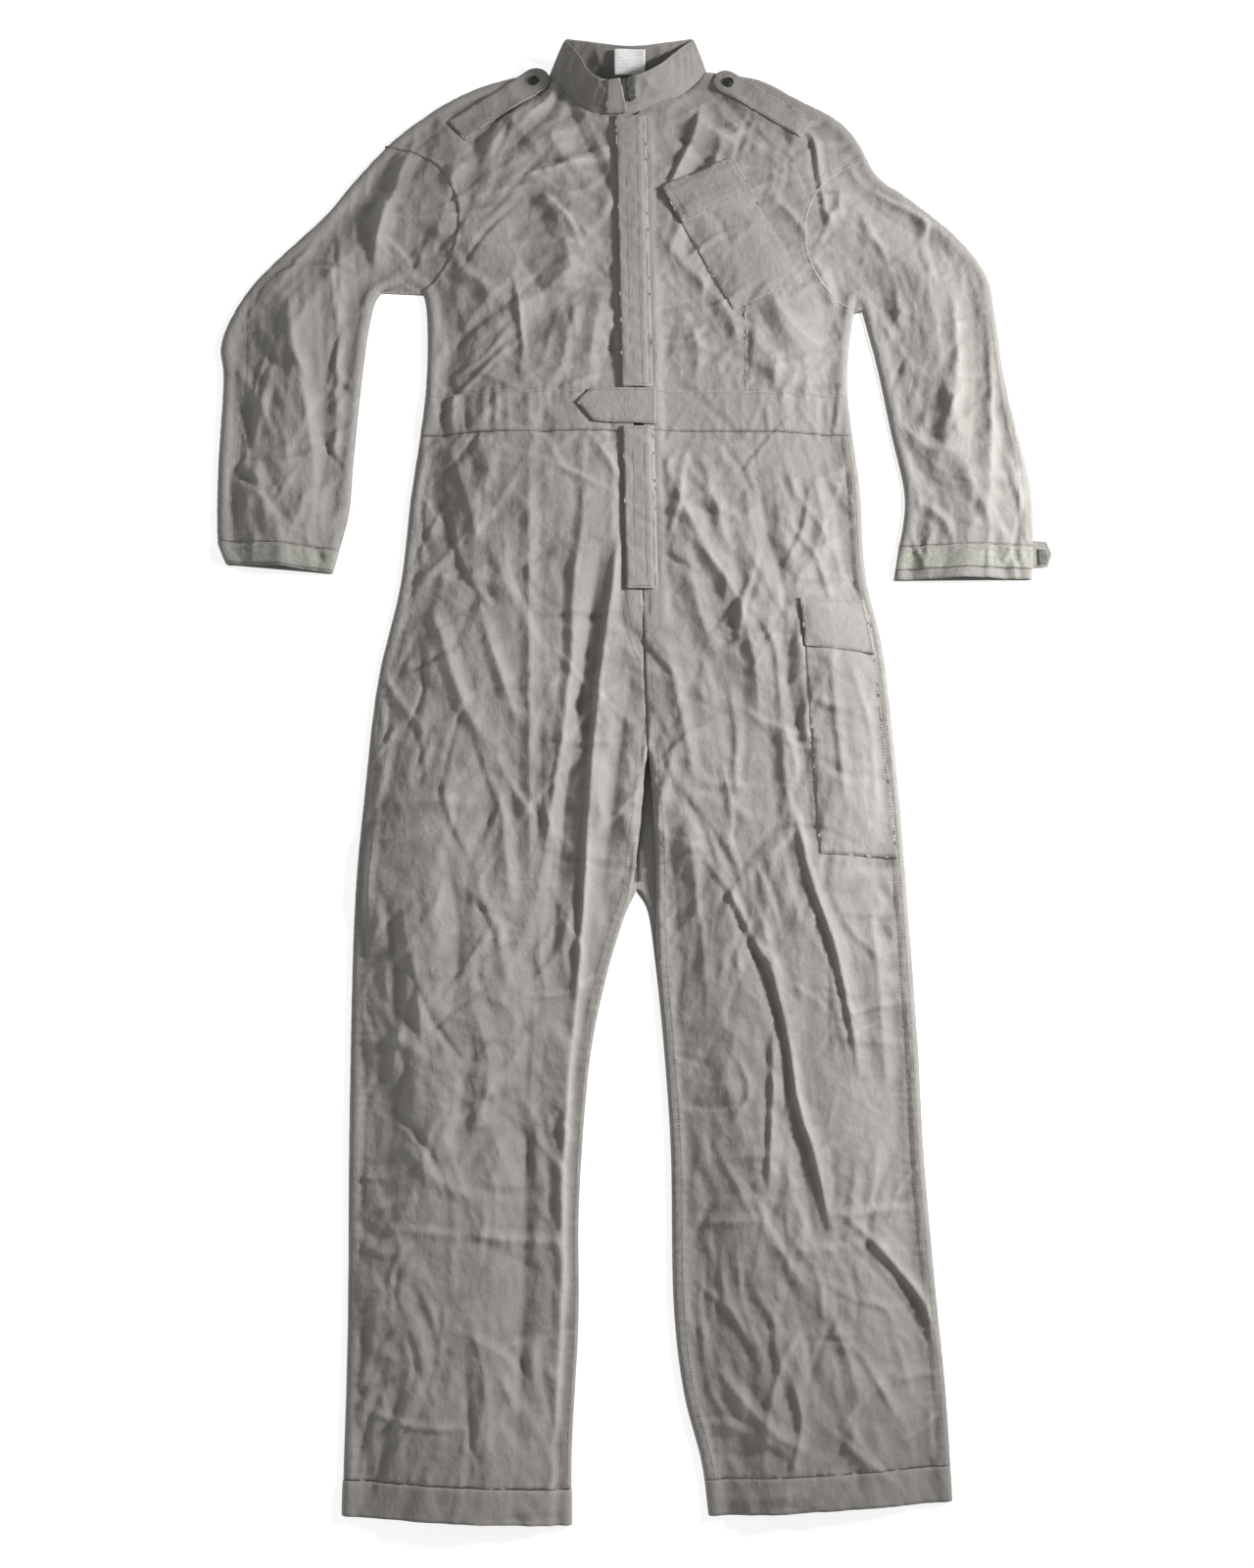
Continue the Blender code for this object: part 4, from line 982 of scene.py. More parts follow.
def blend_colour(tree, factor, one, two, low=0.0, high=1.0):
    """Mixes two colours, or an output and a colour, by a factor stretched from low to high."""
    spread = node(tree, "ShaderNodeMapRange")
    spread.inputs["From Min"].default_value = low
    spread.inputs["From Max"].default_value = high
    tree.links.new(factor, spread.inputs["Value"])
    mix = node(tree, "ShaderNodeMix", data_type="RGBA")
    tree.links.new(spread.outputs["Result"], mix.inputs["Factor"])
    for key, value in (("A", one), ("B", two)):
        socket = [s for s in mix.inputs if s.name == key and s.type == "RGBA"][0]
        if isinstance(value, tuple):
            socket.default_value = (*value, 1.0)
        else:
            tree.links.new(value, socket)
    return [s for s in mix.outputs if s.type == "RGBA"][0]


def bump(tree, height, strength, distance, under=None):
    made = node(tree, "ShaderNodeBump", Strength=strength, Distance=distance)
    tree.links.new(height, made.inputs["Height"])
    if under is not None:
        tree.links.new(under, made.inputs["Normal"])
    return made.outputs["Normal"]


def total(tree, *terms):
    """A weighted sum of outputs."""
    result = None
    for value, weight in terms:
        scaled = node(tree, "ShaderNodeMath", operation="MULTIPLY")
        tree.links.new(value, scaled.inputs[0])
        scaled.inputs[1].default_value = weight
        if result is None:
            result = scaled.outputs[0]
            continue
        added = node(tree, "ShaderNodeMath", operation="ADD")
        tree.links.new(result, added.inputs[0])
        tree.links.new(scaled.outputs[0], added.inputs[1])
        result = added.outputs[0]
    return result


def ridges(tree, source, scale):
    """Narrow lines where smooth noise crosses its middle."""
    off = node(tree, "ShaderNodeMath", operation="SUBTRACT")
    tree.links.new(noise(tree, source, scale, 1.5, 0.45, ((1.0, 0.6, 1.0), (0, 0, 0.2))), off.inputs[0])
    off.inputs[1].default_value = 0.5
    size = node(tree, "ShaderNodeMath", operation="ABSOLUTE")
    tree.links.new(off.outputs[0], size.inputs[0])
    return size.outputs[0]


def twill(tree, source, pitch, angle):
    """Diagonal ribs of a twill weave, broken up by its threads."""
    mapping = node(tree, "ShaderNodeMapping", Rotation=(0, 0, angle))
    tree.links.new(source, mapping.inputs["Vector"])
    wave = node(tree, "ShaderNodeTexWave", Scale=1 / pitch / 3.2, Distortion=0.6, Detail=1.0)
    wave.inputs["Detail Scale"].default_value = 3.0
    tree.links.new(mapping.outputs["Vector"], wave.inputs["Vector"])
    return wave.outputs["Fac"]


def cotton_material(name, light, dark, worn):
    material, tree, shader = nodes_of(name, 0.86)
    shader.inputs["Sheen Weight"].default_value = 0.22
    shader.inputs["Sheen Roughness"].default_value = 0.55
    shader.inputs["Sheen Tint"].default_value = (0.85, 0.84, 0.78, 1)
    shader.inputs["Specular IOR Level"].default_value = 0.25
    uv = node(tree, "ShaderNodeUVMap", uv_map="plan").outputs["UV"]
    colour = blend_colour(tree, noise(tree, uv, 5.0, 4.0, 0.6), dark, light, 0.32, 0.68)
    lighter = tuple(min(1.0, c * 1.22) for c in light)
    mottle = noise(tree, uv, 85.0, 5.0, 0.7)
    colour = blend_colour(tree, mottle, colour, lighter, 0.52, 1.15)
    crest = node(tree, "ShaderNodeAttribute", attribute_name="crest").outputs["Fac"]
    colour = blend_colour(tree, crest, colour, worn, 0.25, 3.0)
    # Points lying below their surroundings turn darker: painted shade in the valleys of the creases.
    low = node(tree, "ShaderNodeMath", operation="MULTIPLY")
    tree.links.new(crest, low.inputs[0])
    low.inputs[1].default_value = -1.0
    shade = tuple(c * 0.72 for c in dark)
    colour = blend_colour(tree, low.outputs[0], colour, shade, 0.2, 3.0)
    threads = noise(tree, uv, 900.0, 1.0, 0.5, ((1.0, 0.18, 1.0), (0, 0, 0)))
    picks = noise(tree, uv, 900.0, 1.0, 0.5, ((0.18, 1.0, 1.0), (0, 0, 0)))
    colour = blend_colour(tree, threads, colour, tuple(c * 0.78 for c in dark), 0.55, 1.2)
    tree.links.new(colour, shader.inputs["Base Color"])
    ribs = twill(tree, uv, 0.0011, 0.9)
    weave = total(tree, (ribs, 0.6), (threads, 0.5), (picks, 0.5))
    rumple = total(tree, (ridges(tree, uv, 48.0), -1.0), (ridges(tree, uv, 95.0), 0.6),
                   (noise(tree, uv, 190.0, 2.0, 0.5), 0.25))
    normal = bump(tree, rumple, 0.7, 0.0026)
    normal = bump(tree, weave, 0.35, 0.00022, normal)
    tree.links.new(normal, shader.inputs["Normal"])
    return material


def thread_material():
    material, tree, shader = nodes_of("thread", 0.6)
    place = node(tree, "ShaderNodeTexCoord").outputs["Object"]
    wear = noise(tree, place, 160.0, 2.0)
    colour = blend_colour(tree, wear, (0.20, 0.19, 0.155), (0.30, 0.285, 0.24), 0.3, 0.7)
    tree.links.new(colour, shader.inputs["Base Color"])
    twist = node(tree, "ShaderNodeTexWave", Scale=900.0, Distortion=0.5)
    tree.links.new(place, twist.inputs["Vector"])
    tree.links.new(bump(tree, twist.outputs["Fac"], 0.4, 0.0001), shader.inputs["Normal"])
    return material


def loop_material():
    """The napped side of a touch fastener."""
    material, tree, shader = nodes_of("loop_tape", 0.95)
    shader.inputs["Sheen Weight"].default_value = 0.5
    shader.inputs["Sheen Roughness"].default_value = 0.4
    uv = node(tree, "ShaderNodeUVMap", uv_map="plan").outputs["UV"]
    nap = noise(tree, uv, 700.0, 4.0, 0.75)
    tufts = noise(tree, uv, 210.0, 3.0, 0.6)
    colour = blend_colour(tree, tufts, (0.235, 0.233, 0.203), (0.345, 0.343, 0.305), 0.3, 0.72)
    colour = blend_colour(tree, nap, colour, (0.44, 0.44, 0.395), 0.5, 0.95)
    tree.links.new(colour, shader.inputs["Base Color"])
    tree.links.new(bump(tree, total(tree, (nap, 1.0), (tufts, 0.8)), 0.9, 0.0012), shader.inputs["Normal"])
    return material


def hook_material():
    material, tree, shader = nodes_of("hook_tape", 0.55)
    place = node(tree, "ShaderNodeTexCoord").outputs["Object"]
    hooks = node(tree, "ShaderNodeTexVoronoi", Scale=620.0)
    tree.links.new(place, hooks.inputs["Vector"])
    colour = blend_colour(tree, hooks.outputs["Distance"], (0.20, 0.20, 0.18), (0.07, 0.07, 0.062), 0.1, 0.6)
    tree.links.new(colour, shader.inputs["Base Color"])
    tree.links.new(bump(tree, hooks.outputs["Distance"], 0.8, 0.0008), shader.inputs["Normal"])
    return material


def tape_material():
    material, tree, shader = nodes_of("zip_tape", 0.8)
    place = node(tree, "ShaderNodeTexCoord").outputs["Object"]
    rib = node(tree, "ShaderNodeTexWave", Scale=420.0, Distortion=0.3, bands_direction="Y")
    tree.links.new(place, rib.inputs["Vector"])
    colour = blend_colour(tree, rib.outputs["Fac"], (0.13, 0.13, 0.105), (0.22, 0.215, 0.18))
    tree.links.new(colour, shader.inputs["Base Color"])
    tree.links.new(bump(tree, rib.outputs["Fac"], 0.5, 0.0003), shader.inputs["Normal"])
    return material


def metal_material(name, bright, dull, roughness):
    material, tree, shader = nodes_of(name, roughness, 1.0)
    place = node(tree, "ShaderNodeTexCoord").outputs["Object"]
    patina = noise(tree, place, 240.0, 5.0, 0.65)
    colour = blend_colour(tree, patina, dull, bright, 0.35, 0.65)
    tree.links.new(colour, shader.inputs["Base Color"])
    spread = node(tree, "ShaderNodeMapRange")
    spread.inputs["To Min"].default_value = roughness + 0.18
    spread.inputs["To Max"].default_value = roughness
    tree.links.new(patina, spread.inputs["Value"])
    tree.links.new(spread.outputs["Result"], shader.inputs["Roughness"])
    tree.links.new(bump(tree, noise(tree, place, 900.0, 3.0), 0.3, 0.0002), shader.inputs["Normal"])
    return material


def label_material():
    """White woven satin with faint grey rules in place of any wording."""
    material, tree, shader = nodes_of("label", 0.45)
    shader.inputs["Sheen Weight"].default_value = 0.3
    uv = node(tree, "ShaderNodeUVMap", uv_map="plan").outputs["UV"]
    split = node(tree, "ShaderNodeSeparateXYZ")
    tree.links.new(uv, split.inputs[0])
    rows = node(tree, "ShaderNodeMath", operation="SINE")
    scaled = node(tree, "ShaderNodeMath", operation="MULTIPLY")
    tree.links.new(split.outputs[1], scaled.inputs[0])
    scaled.inputs[1].default_value = 2 * math.pi / 0.0034
    tree.links.new(scaled.outputs[0], rows.inputs[0])
    rules = rows.outputs[0]
    gaps = noise(tree, uv, 60.0, 1.0, 0.5, ((1.0, 4.0, 1.0), (0, 0, 0)))
    colour = blend_colour(tree, rules, (0.84, 0.84, 0.83), (0.50, 0.51, 0.53), 0.72, 0.95)
    colour = blend_colour(tree, gaps, colour, (0.84, 0.84, 0.83), 0.46, 0.52)
    tree.links.new(colour, shader.inputs["Base Color"])
    tree.links.new(bump(tree, noise(tree, uv, 800.0, 2.0), 0.3, 0.0002), shader.inputs["Normal"])
    return material


# Panels


def armhole_ends(side):
    centre = ARMHOLES[side]
    top = crossing(SIDES["arm_outer_" + side], centre, ARMHOLE_RADIUS)
    low = crossing(SIDES["side_" + side], centre, ARMHOLE_RADIUS)
    return centre, top, low


def bodice_side(side):
    centre, top, low = armhole_ends(side)
    flank = cut(SIDES["side_" + side], WAIST_TOP_Y, low[1])
    hole = arc(centre, low, top, ARMHOLE_RADIUS)
    shoulder = cut(SIDES["arm_outer_" + side], top[1], SIDES["arm_outer_" + side][-1][1])
    return np.vstack([flank, hole, shoulder]), hole


def half_neck(sign):
    neck = smooth(NECK_FRONT)
    edge = zip_at(sign * FRONT_EDGE, NECK_LOW_Y)
    part = neck[(neck[:, 0] - edge[0]) * sign > 0.002]
    return part if sign > 0 else part[::-1]


def sleeve_outline(side):
    centre, top, low = armhole_ends(side)
    outer_cuff, inner_cuff = CUFF_TOPS[side]
    outer = cut(SIDES["arm_outer_" + side], outer_cuff, top[1])
    inner = cut(SIDES["arm_inner_" + side], inner_cuff, low[1])
    head = arc(centre, top, low, ARMHOLE_RADIUS + UNDERLAP)
    return closed(outer, head, inner[::-1], straight(inner[0], outer[0])), outer, inner


def trouser_outline(side, sign, front):
    outer_hem, inner_hem = HEM_TOPS[side]
    top = WAIST_LOW_Y + UNDERLAP if front else WAIST_LOW_Y
    outer = cut(SIDES["side_" + side], outer_hem, top)
    if front:
        inner = cut(FRONT_INSEAMS[side], inner_hem, GAP_TOP[1])
    else:
        inner = cut(SIDES["inseam_" + side], inner_hem, CROTCH_Y)
    hem = straight(outer[0], inner[0])
    if front:
        rise = straight(inner[-1], zip_at(0, 0.073), zip_at(0, 0.1585))
        edge = straight(zip_at(sign * FRONT_EDGE, 0.1610), zip_at(sign * FRONT_EDGE, top))
        parts = (outer[::-1], hem, inner, rise, edge, straight(edge[-1], outer[-1]))
    else:
        seat = straight(inner[-1], zip_at(0, WAIST_LOW_Y))
        parts = (outer[::-1], hem, inner, seat, straight(seat[-1], outer[-1]))
    return closed(*parts), outer, inner, hem


def band_outline(side):
    """The hem band below a trouser leg."""
    outer_hem, inner_hem = HEM_TOPS[side]
    outer, inner = SIDES["side_" + side], SIDES["inseam_" + side]
    a, b = at_height(outer, outer_hem), at_height(inner, inner_hem)
    c, d = at_height(inner, inner_hem - HEM_HEIGHT), at_height(outer, outer_hem - HEM_HEIGHT)
    return closed(straight(a, b), straight(b, c), straight(c, d), straight(d, a)), (a, b, c, d)


def cuff_outline(side):
    outer_cuff, inner_cuff = CUFF_TOPS[side]
    outer, inner = SIDES["arm_outer_" + side], SIDES["arm_inner_" + side]
    height = CUFF_HEIGHTS[side]
    a, b = at_height(outer, outer_cuff), at_height(inner, inner_cuff)
    c, d = at_height(inner, inner_cuff - height), at_height(outer, outer_cuff - height)
    return closed(straight(a, b), straight(b, c), straight(c, d), straight(d, a)), (a, b, c, d)


def note_seams():
    """The lines along which the cloth puckers."""
    for side, sign in (("right", -1), ("left", 1)):
        SEAMS.append(half_neck(sign))
        for y in (WAIST_TOP_Y, WAIST_LOW_Y):
            SEAMS.append(straight(zip_at(sign * 0.02, y), at_height(SIDES["side_" + side], y)))
        _, outer, inner, hem = trouser_outline(side, sign, True)
        SEAMS.append(parallel(outer, -sign * -0.014 if side == "left" else -0.014))
        SEAMS.append(parallel(inner, sign * -0.007))
        SEAMS.append(hem)
        _, corners = cuff_outline(side)
        SEAMS.append(straight(corners[0], corners[1]))
    SEAMS.append(straight(GAP_TOP, zip_at(0, 0.073), zip_at(0, 0.1585)))
    SEAMS.append(straight(zip_at(COVER_SEWN, 0.158), zip_at(COVER_SEWN, 0.728)))
    for ring in (CHEST_POCKET, CARGO_POCKET):
        SEAMS.append(straight(*ring))
    SEAMS.append(straight((-0.440, 0.520), (-0.441, 0.485), (-0.440, 0.360), (-0.447, 0.225)))
    SEAMS.append(straight((0.131, 0.497), (0.130, 0.392)))
    SEAMS.append(straight((0.134, 0.342), (0.140, 0.269)))


def add_front_panels():
    for side, sign in (("right", -1), ("left", 1)):
        flank, hole = bodice_side(side)
        tuck = WAIST_TOP_Y - UNDERLAP
        flank = np.vstack([at_height(SIDES["side_" + side], tuck), flank])
        edge = straight(zip_at(sign * FRONT_EDGE, tuck), zip_at(sign * FRONT_EDGE, NECK_LOW_Y))
        outline = closed(edge, half_neck(sign), flank[::-1], straight(flank[0], edge[0]))
        name = "front_bodice_" + side
        front_panel(name + "_cloth", outline, BODICE_LIFT, nodes=[name])
        rows = [parallel(hole, -sign * -0.0022), parallel(hole, -sign * -0.0085)]
        rows += [parallel(half_neck(sign), -sign * 0.0035)]
        rows += [parallel(edge, -sign * 0.0025)]
        stitched("stitches_bodice_" + side, rows, lambda p: FIELD.front(p, BODICE_LIFT))

        low, high = WAIST_LOW_Y, WAIST_TOP_Y
        band = cut(SIDES["side_" + side], low, high)
        inner = straight(zip_at(sign * FRONT_EDGE, high), zip_at(sign * FRONT_EDGE, low))
        outline = closed(inner, straight(inner[-1], band[0]), band, straight(band[-1], inner[0]))
        name = "waistband_front_" + side
        front_panel(name + "_cloth", outline, BAND_LIFT, nodes=[name])
        rows = [straight(zip_at(sign * 0.02, y), at_height(band, y)) for y in (low + 0.0022, high - 0.0022)]
        stitched("stitches_waistband_" + side, rows, lambda p: FIELD.front(p, BAND_LIFT))

        outline, outer, inner, hem = trouser_outline(side, sign, True)
        name = "trouser_front_" + side
        lift = 0.0011 if side == "left" else 0.0003
        front_panel(name + "_cloth", outline, lift, nodes=[name])
        far = 0.013 if side == "right" else 0.006
        rows = [parallel(outer, sign * far), parallel(outer, sign * (far + 0.0065))]
        rows += [parallel(inner, -sign * 0.004), parallel(inner, -sign * 0.0105)]
        rows += [straight(hem[0], hem[-1]) + np.array([0, 0.0022])]
        if side == "left":
            rise = straight(zip_at(0, 0.150), zip_at(0, 0.073), GAP_TOP)
            rows += [parallel(rise, 0.0025), parallel(rise, 0.0085)]
        else:
            fly = [zip_at(COVER_FREE - 0.006, 0.157), (-0.006, 0.112), (0.006, 0.080), (0.0120, 0.070)]
            fly = smooth(fly)
            rows += [fly, parallel(fly, 0.006)]
        stitched("stitches_trouser_" + side, rows, lambda p, up=lift: FIELD.front(p, up))


def add_darts():
    """The sewn tuck above and below the waist on the left front."""
    lines = [straight((0.131, 0.497), (0.130, 0.393)), straight((0.134, 0.341), (0.140, 0.269))]
    for number, line in enumerate(lines):
        ring = closed(parallel(line, 0.0015), parallel(line, -0.0035)[::-1])
        plan, faces = fill(ring, 0.0016)
        far, _ = nearest_on([line], plan)
        side = plan[:, 0] - np.interp(plan[:, 1], np.sort(line[:, 1]), line[np.argsort(line[:, 1]), 0])
        place = FIELD.front(plan, 0.0005)
        place[:, 2] += np.where(side < 0, 0.0009, 0.0) * np.exp(-far / 0.004)
        obj = make_mesh(f"dart_{number + 1}", place, faces, COTTON, plan, np.full(len(plan), 0.3), CLOTH)
        settle(obj, "garment")


def add_back_panels():
    body = closed(bodice_side("right")[0], smooth(NECK_BACK), bodice_side("left")[0][::-1])
    back_panel("back_bodice", body)
    bands = {side: cut(SIDES["side_" + side], WAIST_LOW_Y, WAIST_TOP_Y) for side in ("right", "left")}
    back_panel("waistband_back", closed(bands["right"], straight(bands["right"][-1], bands["left"][-1]),
                                        bands["left"][::-1], straight(bands["left"][0], bands["right"][0])))
    for side, sign in (("right", -1), ("left", 1)):
        back_panel("trouser_back_" + side, trouser_outline(side, sign, False)[0])


def tube(name, corners, material, lift, spacing=0.0032):
    """A flattened, open ended tube between two cross lines, outer and inner corners first."""
    a, b, c, d = (np.array(p) for p in corners)
    wide = max(8, round(float(np.linalg.norm(b - a)) / spacing))
    tall = max(5, round(float(np.linalg.norm(d - a)) / spacing))
    s = np.linspace(0, 1, wide + 1)
    rows = []
    plans = []
    for t in np.linspace(0, 1, tall + 1):
        start, stop = a + (d - a) * t, b + (c - b) * t
        line = start + (stop - start) * s[:, None]
        upper = FIELD.front(line, lift)
        lower = back_place(line[1:-1])
        lower[:, 2] += 0.0006
        rows.append(np.vstack([upper, lower[::-1]]))
        width = float(np.linalg.norm(stop - start))
        spots = np.concatenate([s, 2 - s[1:-1][::-1]]) * width
        plans.append(np.column_stack([spots, np.full(len(spots), t * np.linalg.norm(d - a))]))
    count = len(rows[0])
    faces = [
        (r * count + i, r * count + (i + 1) % count, (r + 1) * count + (i + 1) % count, (r + 1) * count + i)
        for r in range(tall) for i in range(count)
    ]
    points = np.vstack(rows)
    return make_mesh(name, points, faces, material, np.vstack(plans), np.zeros(len(points)), CLOTH, -1.0)


def add_hems():
    for side in ("right", "left"):
        outline, corners = band_outline(side)
        obj = tube(f"hem_band_{side}_cloth", corners, COTTON, HEM_LIFT)
        settle(obj, "garment")
        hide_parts("hem_band_" + side)
        _, _, c, d = corners
        line = straight(d, c) + np.array([0, 0.0025])
        stitched("stitches_hem_" + side, [line], lambda p: FIELD.front(p, HEM_LIFT))


def add_sleeves():
    for side, sign in (("right", -1), ("left", 1)):
        carrier = ("garment", "sleeve_" + side, *SLEEVE_BENDS[side])
        outline, _, inner = sleeve_outline(side)
        front_panel(f"sleeve_upper_{side}_cloth", outline, 0.0, carrier, nodes=["sleeve_upper_" + side])
        back_panel("sleeve_under_" + side, outline, carrier)
        rows = [parallel(inner, sign * 0.004)]
        if side == "right":
            seam = smooth([(-0.452, 0.500), (-0.441, 0.470), (-0.440, 0.360), (-0.447, 0.222)])
        else:
            seam = smooth([(0.414, 0.480), (0.424, 0.380), (0.436, 0.300), (0.436, 0.216)])
        rows += [parallel(seam, 0.0025), parallel(seam, -0.0035)]
        stitched("stitches_sleeve_" + side, rows, lambda p: FIELD.front(p, 0.0), carrier)
        add_cuff(side)


def add_cuff(side):
    outline, corners = cuff_outline(side)
    body = "sleeve_" + side
    obj = tube(f"cuff_{side}_cloth", corners, COTTON, 0.0006)
    settle(obj, body)
    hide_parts("cuff_" + side)
    a, b, c, d = (np.array(p) for p in corners)
    low = 0.10 if side == "right" else 0.30
    strip = [a + (d - a) * 0.12, b + (c - b) * 0.12, c + (b - c) * low, d + (a - d) * low]
    loop = tube(f"cuff_loop_{side}_tape", strip, LOOP, 0.0017, 0.002)
    settle(loop, body)
    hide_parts("cuff_loop_" + side)
    lines = [straight(strip[0], strip[1]) + np.array([0, -0.0012]),
             straight(strip[3], strip[2]) + np.array([0, 0.0012]),
             straight(a, b) + np.array([0, 0.0020])]
    stitched("stitches_cuff_" + side, lines, lambda p: FIELD.front(p, 0.0018), body)


# Trims


def trim(name, outline, lift, carrier, material, nodes, spacing=0.0022, edge=0.0005, thickness=0.0011,
         wave=None, surface=None):
    """A stiff piece that lies over the front layer, with rounded edges."""
    plan, faces = fill(outline, spacing)
    place = (surface or FIELD.over)(plan, lift)
    far, _ = nearest_on([looped(outline)], plan)
    place[:, 2] -= edge * np.exp(-far / 0.0015)
    if wave:
        place[:, 2] += wave(plan, far)
    obj = make_mesh(name, place, faces, material, plan, 0.6 * np.exp(-far / 0.0012), thickness)
    settle(obj, carrier)
    if nodes:
        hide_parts(*nodes)
    return obj


def ring_of(points):
    return closed(straight(*points, points[0]))


def zip_ring(low_across, high_across, low, high):
    return closed(straight(zip_at(low_across, low), zip_at(high_across, low), zip_at(high_across, high),
                           zip_at(low_across, high), zip_at(low_across, low)))


def cover_surface(points, lift):
    """Clear of the slider's path, and down on the front along the sewn edge."""
    out = FIELD.over(points, lift)
    out[:, 2] = np.maximum(out[:, 2], TOP + lift)
    across = points[:, 0] - ZIP_X - ZIP_LEAN * (points[:, 1] - ZIP_MID_Y)
    front = FIELD.front(points, 0.0016)
    down = smoothstep((across - 0.0085) / 0.0075)
    out[:, 2] = out[:, 2] * (1 - down) + np.maximum(front[:, 2], out[:, 2] - 0.0022) * down
    return out


def add_covers():
    """The two lengths of the cover over the zip, with hidden touch fastener."""
    for part, (low, high) in COVER_SPANS.items():
        middle = (low + high) / 2
        seam, free = zip_at(COVER_SEWN, middle), zip_at(COVER_SEWN - 0.006, middle)
        carrier = ("garment", "storm_cover_" + part, (*seam, TOP), (*free, TOP))
        outline = zip_ring(COVER_FREE, COVER_SEWN, low, high)

        def bands(plan, far):
            across = plan[:, 0] - ZIP_X - ZIP_LEAN * (plan[:, 1] - ZIP_MID_Y)
            wander = 1.4 * np.sin(plan[:, 1] / 0.019) + 0.9 * np.sin(plan[:, 1] / 0.0077 + across / 0.006)
            ripple = np.sin((plan[:, 1] - 0.002) / 0.0345 * 2 * math.pi + 1.6 * across / 0.035 + wander)
            groove = np.exp(-((across - 0.0062) / 0.0011) ** 2)
            groove = groove + 0.6 * np.exp(-((across + 0.0062) / 0.0011) ** 2)
            slow = 0.0005 * np.sin(plan[:, 1] / 0.047 + across / 0.012)
            return (0.00055 * ripple + slow) * smoothstep(far / 0.004) - 0.0005 * groove

        trim(f"storm_flap_{part}_cloth", outline, COVER_LIFT, carrier, COTTON,
             ["storm_flap_" + part], wave=bands, surface=cover_surface)
        rows = [straight(zip_at(a, low + 0.003), zip_at(a, high - 0.003)) for a in (-0.0156, 0.0062, 0.0145)]
        rows += [straight(zip_at(-0.0065, low + 0.010), zip_at(-0.0065, high - 0.010))]
        rows += [straight(zip_at(-0.0156, y), zip_at(0.0145, y)) for y in (low + 0.003, high - 0.003)]
        stitched(f"stitches_storm_{part}", rows, lambda p: cover_surface(p, COVER_LIFT), carrier)
        strip = zip_ring(-0.0160, -0.0078, low + 0.012, high - 0.012)
        trim(f"storm_hook_{part}_tape", strip, 0.0017, "storm_cover_" + part, HOOK,
             ["storm_hook_" + part], edge=0.0002, thickness=0.0008)
        trim(f"storm_loop_{part}_tape", strip, 0.0009, "garment", LOOP,
             ["storm_loop_" + part], edge=0.0002, thickness=0.0008)


def add_waist_tab():
    carrier = ("garment", "waist_strap", (0.0265, 0.3710, TOP), (0.0190, 0.3710, TOP))
    outline = ring_of(WAIST_TAB)
    trim("waist_tab_cloth", outline, WAIST_TAB_LIFT, carrier, COTTON, ["waist_tab"],
         thickness=0.0016)
    ring = inset(outline, 0.0026)
    rows = [np.vstack([ring, ring[:1]])]
    rows += [straight((x, 0.3555), (x, 0.3895)) for x in (-0.0075, -0.0045)]
    stitched("stitches_waist_tab", rows, lambda p: FIELD.over(p, WAIST_TAB_LIFT), carrier)
    patch = ring_of([(-0.050, 0.3600), (-0.012, 0.3580), (-0.012, 0.3860), (-0.046, 0.3860)])
    trim("waist_tab_hook_tape", patch, 0.0032, "waist_strap", HOOK, ["waist_tab_hook"],
         edge=0.0002, thickness=0.0008)
    trim("waist_loop_tape", patch, 0.0022, "garment", LOOP, ["waist_loop_patch"],
         edge=0.0002, thickness=0.0008)


def pocket_surface(outline, extra, full):
    """Lays a patch pocket on the front: sewn down at three sides, fuller inside and at its mouth."""
    sewn = straight(*outline)

    def place(points, lift):
        far, _ = nearest_on([sewn], points)
        out = FIELD.front(points, lift)
        out[:, 2] += extra * smoothstep((points[:, 0] - 0.232) / 0.020)
        out[:, 2] += full * smoothstep(far / 0.030)
        return out

    return place


def add_pocket(name, corners, flap, hinge, lid, full, rows_at, loop_patch):
    outline = ring_of(corners)
    surface = pocket_surface(corners, 0.0011 if name == "cargo_pocket" else 0.0, full)
    trim(name + "_cloth", outline, POCKET_LIFT, "garment", COTTON, [name], MESH, 0.0003, CLOTH,
         surface=surface)
    sewn = np.array(corners)
    middle = sewn.mean(0)
    path = [p + (middle - p) / np.linalg.norm(middle - p) * 0.0032 for p in sewn]
    stitched("stitches_" + name, [straight(*path)], lambda p: surface(p, POCKET_LIFT))

    def lid_surface(points, lift):
        out = surface(points, lift)
        out[:, 2] = 0.5 * out[:, 2] + 0.5 * (FIELD.over(points, lift)[:, 2] + full * 0.8)
        far, _ = nearest_on([straight(*hinge)], points)
        out[:, 2] += 0.0018 * smoothstep(far / 0.012)
        return out

    ring = ring_of(flap)
    start = (np.array(hinge[0]) + np.array(hinge[1])) / 2
    centre = np.array(flap).mean(0)
    toward = (centre - start) / np.linalg.norm(centre - start)
    carrier = ("garment", lid, (*start, TOP), (*(start + toward * 0.012), TOP))
    trim(f"{name}_flap_cloth", ring, LID_LIFT, carrier, COTTON, [name + "_flap"],
         surface=lid_surface, thickness=0.0013)
    rows = []
    for gap in rows_at:
        inner = inset(ring, gap)
        rows.append(looped(inner))
    stitched(f"stitches_{name}_flap", rows, lambda p: lid_surface(p, LID_LIFT), carrier)
    patch = ring_of(loop_patch)
    hook = "chest_flap_hook" if name == "chest_pocket" else "cargo_flap_hook"
    trim(name + "_loop_tape", patch, 0.0016, "garment", LOOP, [name + "_loop"], edge=0.0002,
         thickness=0.0006, surface=surface)
    trim(hook + "_tape", patch, 0.0008, lid, HOOK, [hook], edge=0.0002,
         thickness=0.0005, surface=lid_surface)


